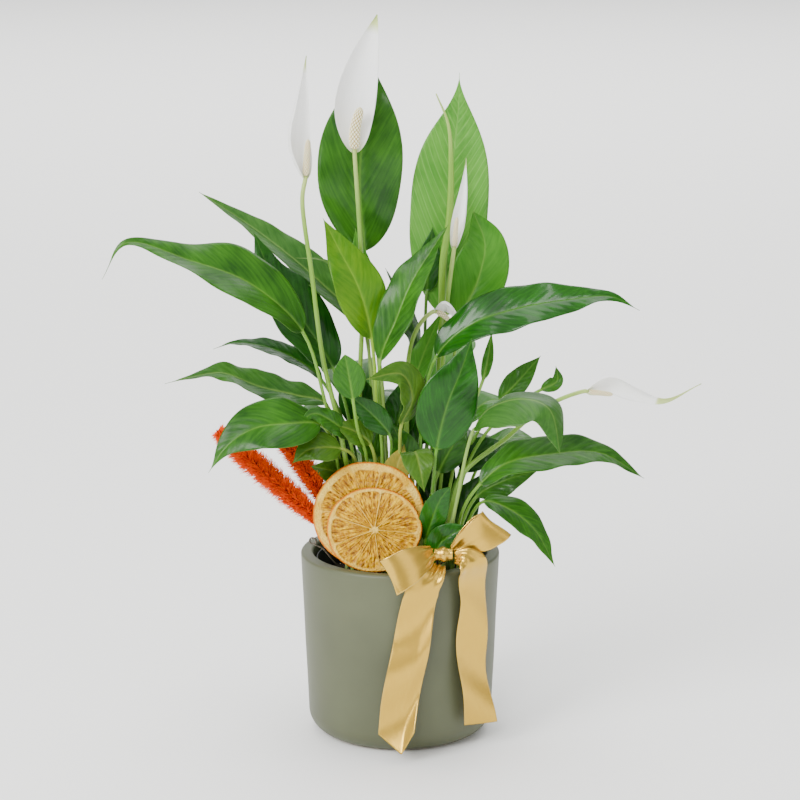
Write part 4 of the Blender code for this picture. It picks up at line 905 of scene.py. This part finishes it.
whole = add_node(tree, "Mix", {0: peel, 6: body, 7: rind_tone}, data_type="RGBA")
pores = add_node(tree, "TexVoronoi", {"Vector": place, "Scale": 700.0})                    # 1.4 mm oil glands
rough = add_node(tree, "MapRange", {"Value": pulp, "To Min": 0.7, "To Max": 0.27})
relief = add_node(tree, "Mix", {0: pulp, 2: pores, 3: wrinkle})
slice_bump = add_node(tree, "Bump", {"Height": relief, "Strength": 0.9, "Distance": 0.0009})
feed(shader, {"Base Color": whole, "Roughness": rough, "Normal": slice_bump})

SLICE_LEAN = math.radians(12.5)
SLICE_THICKNESS = 3.4


def box_middle(node):
    """The middle of a CAD node's box, in millimetres."""
    low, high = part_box(node)
    return (np.array(low) + np.array(high)) / (2 * MM)


def orange_slice(name, node, radius, height_share, segments, pith_share, seed):
    """A leaning slice, as rings that run from the front's middle over the rim to the back's middle.

    Radius is given a slow wobble. In its segment, at angle u from -1 to 1 across and v from 0 to 1 outwards,
    a point is pulp where |u|^3 + |2v - 1|^5 < 1. Pulp sinks and wrinkles; membrane and pith stand proud.
    """
    middle = box_middle(node)
    face = np.concatenate([np.linspace(0.004, 0.90, 54), np.linspace(0.915, 1.0, 8)])
    share = np.concatenate([face, face[::-1]])[:, None]
    front = np.concatenate([np.ones(len(face)), -np.ones(len(face))])[:, None]
    a = np.linspace(0, 2 * np.pi, 300, endpoint=False)[None, :]
    around = np.stack([np.cos(a), np.sin(a), 0 * a], -1) * 10
    wobble = 1 - 0.012 * (1 + ripple(around, 9, seed))
    warp = a + 0.06 * ripple(around, 12, seed + 1)
    u = 2 * (warp * segments / (2 * np.pi) % 1) - 1
    core = 0.085 + 0.025 * ripple(around, 8, seed + 2)
    pith = pith_share + 0.014 * ripple(around, 7, seed + 3)
    v = (share - core) / (pith - core)
    gap = 1 - 0.022 / np.clip(share, 0.10, 1)
    shape = np.abs(u / gap) ** 7 + np.abs(2 * v - 1) ** 9
    pulp_here = ease((1.12 - shape) / 0.3)
    spot = np.stack([np.cos(a) * share * radius, np.sin(a) * share * radius, front * 20 + 0 * a], -1)
    grainy = ripple(spot, 3.2, seed + 4) + 0.6 * ripple(spot, 1.7, seed + 5)
    edge = np.clip((1 - share) / 0.035, 0, 1)
    half = SLICE_THICKNESS / 2 - 0.15 - (0.75 + 0.28 * grainy) * pulp_here
    half = half * np.sqrt(1 - (1 - edge) ** 2 * 0.92)
    curl = 0.5 * ripple(around * np.ones_like(share)[..., None], 22, seed + 6) * share**2
    x = share * wobble * radius * np.cos(a)
    y = share * wobble * radius * np.sin(a) * height_share
    z = front * half + curl
    points = np.stack([
        middle[0] + x,
        middle[1] + y * math.sin(SLICE_LEAN) - z * math.cos(SLICE_LEAN),
        middle[2] + y * math.cos(SLICE_LEAN) + z * math.sin(SLICE_LEAN)], -1)
    peel_here = ease((share - 0.955) / 0.03)
    marks = {"pulp": pulp_here, "radial": share * radius / 10 + 0 * a, "spin": a * radius / 20 + 0 * share,
             "peel": peel_here + 0 * a}
    return add_surface(name, points, dried_orange, node, marks)


orange_slice("dried_slice_large", "orange_slice_large", radius=37.5, height_share=0.97, segments=10,
             pith_share=0.855, seed=70)
orange_slice("dried_slice_small", "orange_slice_small", radius=32.0, height_share=0.90, segments=9,
             pith_share=0.915, seed=80)

# ---------------------------------------------------------------------------------------------------------
# Fixings: dull florist's wire with an eyelet that holds the slices, and a split bamboo pick behind them.

# Lacquered iron wire: dark grey-brown metal, with paler and duller marks
bare_wire, shader, tree = new_material("lacquered_florist_wire", Metallic=0.8)
place = add_node(tree, "TexCoord").outputs["Object"]
tarnish = add_node(tree, "TexNoise", {"Vector": place, "Scale": 600.0, "Detail": 3.0})     # 1.7 mm marks
wire_tone = add_node(tree, "ValToRGB", {"Fac": tarnish}, stops=[(0.3, "3d3a33"), (0.7, "7c7465")])
wire_rough = add_node(tree, "MapRange", {"Value": tarnish, "To Min": 0.3, "To Max": 0.55})
feed(shader, {"Base Color": wire_tone, "Roughness": wire_rough})

SLICE_ROW = box_middle("orange_slice_large")[1]
EYELET_X, EYELET_UP, EYELET_RADIUS = -58.5, 31.0, 2.2
eye = np.radians(np.arange(-60, 420, 40))
eyelet = [(EYELET_X + EYELET_RADIUS * math.cos(a), SLICE_ROW + 6.0 + EYELET_RADIUS * a / (2 * math.pi),
           EYELET_UP + EYELET_RADIUS * math.sin(a)) for a in eye]
round_stem("eyelet_wire", planted((-36, -20), [(-44, SLICE_ROW + 7, 16), (-52, SLICE_ROW + 6, 26)] + eyelet),
           (0.55, 0.55), bare_wire, "slice_wire", sides=12, step=0.7)

# Split bamboo: pale straw yellow with fine lengthwise fibres
bamboo, shader, tree = new_material("split_bamboo", Roughness=0.6)
place = add_node(tree, "TexCoord").outputs["Object"]
strand = add_node(tree, "Mapping", {"Vector": place, "Scale": (1.0, 1.0, 0.06)})
grain = add_node(tree, "TexNoise", {"Vector": strand, "Scale": 1600.0, "Detail": 2.0})     # 0.6 mm fibres
bamboo_tone = add_node(tree, "ValToRGB", {"Fac": grain}, stops=[(0.35, "b8955c"), (0.65, "e0c48c")])
feed(shader, {"Base Color": bamboo_tone})
round_stem("bamboo_pick", planted((-19, -30), [(-19, SLICE_ROW - 1.5, 20), (-19, SLICE_ROW + 3.5, 42)]),
           (1.0, 1.0), bamboo, "slice_pick", sides=14)

# ---------------------------------------------------------------------------------------------------------
# Plumes: dried grass heads dyed a hot orange. Short stiff bristles stand out all round a thin core and lean
# towards the tip, dense within; painted shade darkens them towards the core and leaves their ends bright.

# Dyed grass: dry and matt, with painted shade that darkens it towards the core
dyed_grass, shader, tree = new_material("dyed_grass_bristle", Roughness=0.85, Specular_IOR_Level=0.1)
outward = add_node(tree, "Attribute", attribute_name="outward").outputs["Fac"]
place = add_node(tree, "TexCoord").outputs["Object"]
tuft = add_node(tree, "TexNoise", {"Vector": place, "Scale": 500.0, "Detail": 2.0})        # 2 mm tufts
# Painted shade: darkest where the bristles meet the core and brightest at their ends, with tufts that vary
# the dye at random
dye_and_core_shade_level = add_node(tree, "Math", {0: outward, 1: add_node(tree, "MapRange", {
    "Value": tuft, "To Min": -0.3, "To Max": 0.3})}, operation="ADD")
dye_and_core_shade = add_node(tree, "ValToRGB", {"Fac": dye_and_core_shade_level},
               stops=[(0.0, "7c1600"), (0.3, "c43400"), (0.7, "e24a00"), (1.0, "f46a00")])
feed(shader, {"Base Color": dye_and_core_shade})


BARE_STEM = 62.0        # from the soil to the first bristle


def plume(name, node, root, tip, radius, count, seed):
    """A thin stem, and bristles in one mesh: three-sided spikes with a knee, all leaning towards the tip.

    A spike's foot is on the core, its knee at 0.6 of the way out and its point further along the axis.
    """
    start = np.array([root[0] * ROOT_SPREAD, root[1] * ROOT_SPREAD, SOIL + SEAT + 1.0])
    end = np.array([tip[0], tip[1], tip[2] + SOIL], float)
    axis = unit(end - start)
    length = np.linalg.norm(end - start)
    one = unit(np.cross(axis, (0, 0, 1.0)))
    two = np.cross(axis, one)
    core = [start, start + axis * length * 0.5, end - axis * 2]
    # The stem has no outward mark, so it takes the darkest, painted-shade end of the dye
    round_stem(name + "_stem", core, (0.9, 1.0, 0.5), dyed_grass, sides=10)
    rng = np.random.default_rng(seed)
    place_along = np.sort(rng.uniform(0, 1, count))
    shape = np.interp(place_along, (0, 0.08, 0.25, 0.6, 0.85, 1.0), (0.45, 0.7, 0.95, 1.0, 0.95, 0.55))
    turn = rng.uniform(0, 2 * np.pi, count)
    out = np.cos(turn)[:, None] * one + np.sin(turn)[:, None] * two
    brush = length - BARE_STEM
    foot = start + axis * (BARE_STEM + brush * place_along * 0.965)[:, None] + out * 0.5
    reach = radius * shape * rng.uniform(0.55, 1.0, count)
    lean = rng.uniform(0.1, 0.9, count) * reach * np.where(place_along > 0.9, 0.5, 0.8)
    knee = foot + out * (0.6 * reach)[:, None] + axis * (0.35 * lean)[:, None]
    stray = rng.normal(size=(count, 3)) * 0.7
    point = foot + out * reach[:, None] + axis * lean[:, None] + stray
    sideways = np.cross(axis, out)
    corner = np.radians([0, 120, 240])
    cross = (np.cos(corner)[None, :, None] * sideways[:, None] + np.sin(corner)[None, :, None] * axis) * 0.42
    points = np.concatenate([foot[:, None] + cross, knee[:, None] + 0.8 * cross, point[:, None]], 1)
    faces = np.array([(2, 1, 0), (0, 1, 4), (0, 4, 3), (1, 2, 5), (1, 5, 4), (2, 0, 3), (2, 3, 5),
                      (3, 4, 6), (4, 5, 6), (5, 3, 6)])
    loops = (faces[None] + 7 * np.arange(count)[:, None, None]).reshape(-1, 3).tolist()
    # outward runs 0 at a spike's foot, 0.6 at its knee and 1 at its point; the finish paints shade from it,
    # darkest at the core
    level = [0.0, 0.0, 0.0, 0.6, 0.6, 0.6, 1.0]
    return add_piece(name, points, loops, dyed_grass, node, {"outward": level})


plume("bristles_long", "plume_long", (-6, -26), (-124, -20, 107), radius=10.6, count=5200, seed=31)
plume("bristles_short", "plume_short", (-14, -20), (-86, -16, 113), radius=9.6, count=3800, seed=32)

# ---------------------------------------------------------------------------------------------------------
# Bow: 25 mm double-faced satin ribbon in old gold. Two loops are pinched under a gathered knot, two tails
# hang down the front of the pot, and a wire from the knot goes down into the soil.

# Satin: long polyester floats that shine like brushed gold, and a paler woven edge
gold_satin, shader, tree = new_material("old_gold_satin_ribbon", Roughness=0.27, IOR=1.5, Metallic=0.85)
across, along, edge = (
    add_node(tree, "Attribute", attribute_name=key).outputs["Fac"] for key in ("across", "along", "edge"))
warp_way = add_node(tree, "CombineXYZ", {0: across, 1: along})
threads = add_node(tree, "Mapping", {"Vector": warp_way, "Scale": (3.0, 0.12, 1.0)})
floats = add_node(tree, "TexNoise", {"Vector": threads, "Scale": 1.0, "Detail": 3.0})      # 0.3 mm floats
tone = add_node(tree, "ValToRGB", {"Fac": floats}, stops=[(0.3, "cca23c"), (0.7, "d6b046")])
selvedge = add_node(tree, "MapRange", {
    "Value": edge, "From Min": 0.94, "From Max": 0.98, "To Min": 0.0, "To Max": 0.45})
ribbon_tone = add_node(tree, "Mix", {0: selvedge, 6: tone, 7: linear("d2b468")}, data_type="RGBA")
weft = add_node(tree, "TexWave", {    # 0.26 mm, drawn coarse
    "Vector": warp_way, "Scale": 1.2, "Distortion": 0.4, "Detail": 1.0}, bands_direction="Y")
weave = add_node(tree, "Math", {0: weft, 1: floats}, operation="ADD")
ribbon_bump = add_node(tree, "Bump", {"Height": weave, "Strength": 0.06, "Distance": 0.00006})
feed(shader, {"Base Color": ribbon_tone, "Normal": ribbon_bump})

RIBBON_WIDTH = 25.0
RIBBON_THICKNESS = 0.45
RIBBON_COLUMNS = 29


def ribbon(name, centres, across_ways, widths, node, pleats, cut=lambda s: 0 * s, rows=110):
    """A ribbon as a thin closed skin: a smooth middle line, with a width and a width direction at each point.

    At s from -1 to 1 across, a row is shifted off its plane by pleats(t, s), and the last end is cut so that
    it runs on by cut(s) millimetres.
    """
    fine, number = smooth_curve(centres, 32)
    along = distances(fine)
    across = np.linspace(-1, 1, RIBBON_COLUMNS)
    s = np.concatenate([across, across[::-1]])[None, :]
    face = np.repeat([1.0, -1.0], RIBBON_COLUMNS)[None, :]
    t = np.linspace(0, 1, rows)[:, None]
    lengths = t * (along[-1] + cut(s))
    index = np.interp(lengths, along, number)
    tangent = directions(fine, np.clip(lengths[:, RIBBON_COLUMNS // 2], 1, along[-1] - 1))
    middle = at_lengths(fine, lengths.ravel()).reshape(*lengths.shape, 3)
    over = np.clip(lengths - along[-1], 0, None)
    middle = middle + over[..., None] * tangent[-1]
    ways = np.array(across_ways, float)
    middle_index = index[:, RIBBON_COLUMNS // 2]
    spread = np.stack([np.interp(middle_index, range(len(ways)), ways[:, k]) for k in range(3)], -1)
    spread = unit(spread - np.sum(spread * tangent, 1, keepdims=True) * tangent)
    normal = np.cross(tangent, spread)
    half = np.interp(index, range(len(widths)), widths) / 2
    off = pleats(t, s) + face * RIBBON_THICKNESS / 2
    points = middle + (s * half)[..., None] * spread[:, None] + off[..., None] * normal[:, None]
    marks = {"across": s * RIBBON_WIDTH / 2, "along": lengths, "edge": np.abs(s) + 0 * t}
    piece = add_surface(name, points, gold_satin, node, marks)
    return piece, along[-1] * MM


def round_pot(angle, radius, z):
    """A point at an angle in degrees round the pot from the front, to the right."""
    turn = math.radians(angle)
    return np.array([radius * math.sin(turn), -radius * math.cos(turn), z])


KNOT_ANGLE = 27.0
KNOT = box_middle("bow_knot")
TAIL_CLEARANCE = 3.5


def bow_loop(name, node, out, edge, front, back, start, seed):
    """A loop that leaves the knot along out, folds over at its far end and comes back behind."""
    out = np.array(out, float)
    length = np.linalg.norm(out)
    away = unit(out)
    edge = unit(np.array(edge, float))
    thick = unit(np.cross(away, edge))
    thick = -thick if thick[1] > 0 else thick
    shape = [(-0.06, 0.7, 0), (0.25, 0.8 * front, -0.2), (0.62, 1.05 * front, -0.4), (0.92, 0.62 * front, 0),
             (1.0, 0.0, 0.4), (0.92, -0.6 * back, 0.9), (0.62, -back, 1.2), (0.25, -0.7 * back, 0.8),
             (-0.06, -0.7, 0)]
    centres = [KNOT + start + away * length * a + thick * b + edge * c for a, b, c in shape]
    widths = [8.5, 17, 23.5, 25, 25, 25, 23.5, 17, 8.5]
    rng = np.random.default_rng(seed)
    phase = rng.uniform(0, 6)

    def pleats(t, s):
        """Folds that fan from the knot at both ends and die away by the loop's far end."""
        near = np.exp(-(np.minimum(t, 1 - t) / 0.16) ** 2)
        puff = 1.8 * (1 - s**2) * np.cos(np.pi * t) + 0.5 * np.cos(2.2 * s + phase)
        return near * (0.6 * np.cos(7.5 * s + phase) + 0.2 * np.cos(13 * s)) + puff * (1 - near)

    piece, flat_length = ribbon(name, centres, [edge] * len(centres), widths, node, pleats)


bow_loop("satin_loop_left", "bow_loop_left", out=(-27, -22, -10), edge=(0.44, -0.15, -0.9),
         front=6.5, back=3.2, start=(-8.7, -4.0, 2.0), seed=1)
bow_loop("satin_loop_right", "bow_loop_right", out=(26, 3, 17), edge=(0.78, 0.1, -0.62),
         front=4.5, back=6.0, start=(8.3, 3.0, 2.2), seed=2)


def knot_pleats(t, s):
    """A tail's pleats where it comes out from under the knot."""
    return 0.6 * np.exp(-(t / 0.12) ** 2) * np.cos(8 * s)


left_route = [
    KNOT + (-2.5, -1.5, -6.6),
    round_pot(19.5, POT_RIM_RADIUS + 2.3, POT_HEIGHT + 0.5),
    round_pot(12.0, POT_RIM_RADIUS + TAIL_CLEARANCE, POT_HEIGHT - 10),
    round_pot(5.5, wall_radius(POT_HEIGHT * 0.6) + 6, POT_HEIGHT * 0.6),
    round_pot(0.0, wall_radius(POT_HEIGHT * 0.33) + 9, POT_HEIGHT * 0.33),
    round_pot(-2.5, POT_FOOT_RADIUS + 16, 10.0),
]
left_across = [(1, 0.2, 0), (1, 0.2, 0.15), (1, 0.1, 0.2), (1, 0, 0.1), (1, 0, 0.1), (1, -0.1, 0.1)]
left_tail, left_length = ribbon(
    "satin_tail_left", left_route, left_across, [8, 13, 22, 24.5, 24.5, 24.5], "ribbon_tail_left",
    pleats=lambda t, s: knot_pleats(t, s) + 2.3 * ease(t / 0.3) * np.sin(12 * t + 1.3 * s + 0.6),
    cut=lambda s: 3 - np.where(s < 0.4, 8.0, 27.0) * np.abs(s - 0.4))

right_route = [
    KNOT + (7.2, -3.4, -1.5),
    KNOT + (13.5, -7.5, 0.0),
    KNOT + (18.5, -7.0, -5.0),
    round_pot(42.5, POT_RIM_RADIUS + TAIL_CLEARANCE + 0.5, POT_HEIGHT - 12),
    round_pot(43.5, wall_radius(POT_HEIGHT * 0.5) + 5.5, POT_HEIGHT * 0.5),
    round_pot(48.5, wall_radius(POT_HEIGHT * 0.17) + 9.5, POT_HEIGHT * 0.14),
]
right_across = [
    (0.1, 0.3, 1), (0.5, 0.45, 0.6), (0.75, 0.6, 0.1), (0.75, 0.66, 0), (0.75, 0.66, 0), (0.8, 0.6, 0),
]
right_tail, right_length = ribbon(
    "satin_tail_right", right_route, right_across, [8, 15, 22.5, 25, 25, 25], "ribbon_tail_right",
    pleats=lambda t, s: knot_pleats(t, s) + 1.9 * ease(t / 0.35) * np.sin(13 * t - 1.2 * s + 2.4),
    cut=lambda s: 2.7 * s)

# The knot's band goes once round the pinch, its pleats running the way that it is wound
KNOT_HALF = (6.0, 4.4, 5.0)
band_turn = np.linspace(0, 2 * np.pi, 64, endpoint=False)[:, None]
BAND_COLUMNS = 25
band_s = np.concatenate([np.linspace(-1, 1, BAND_COLUMNS), np.linspace(1, -1, BAND_COLUMNS)])[None, :]
band_face = np.repeat([1.0, 0.0], BAND_COLUMNS)[None, :]
pinch = 1 + 0.10 * np.cos(np.pi * band_s) + 0.07 * np.cos(5.5 * band_s + 0.4 * np.sin(band_turn))
depth = pinch - 0.1 - (1 - band_face) * 0.09
band_points = np.stack(np.broadcast_arrays(
    KNOT[0] + KNOT_HALF[0] * band_s, KNOT[1] + KNOT_HALF[1] * depth * np.cos(band_turn),
    KNOT[2] + KNOT_HALF[2] * depth * np.sin(band_turn)), -1)
band_marks = {"across": band_s * 6, "along": band_turn * 5, "edge": np.abs(band_s)}
knot_band = add_surface(
    "gathered_knot", band_points, gold_satin, "bow_knot", band_marks, rings_close=True)

wire_route = [
    KNOT + (0, 2.0, -5.6),
    round_pot(KNOT_ANGLE + 0.9, SOIL_RADIUS + 3.1, KNOT[2] - 9.0),
    round_pot(KNOT_ANGLE + 0.5, SOIL_RADIUS - 2.1, POT_HEIGHT - 6.0),
    round_pot(KNOT_ANGLE + 0.5, SOIL_RADIUS - 4.6, SOIL + 0.8),
]
round_stem(
    "bow_stem_wire", wire_route, (0.65, 0.65), bare_wire, "bow_wire", sides=12, step=1.0)
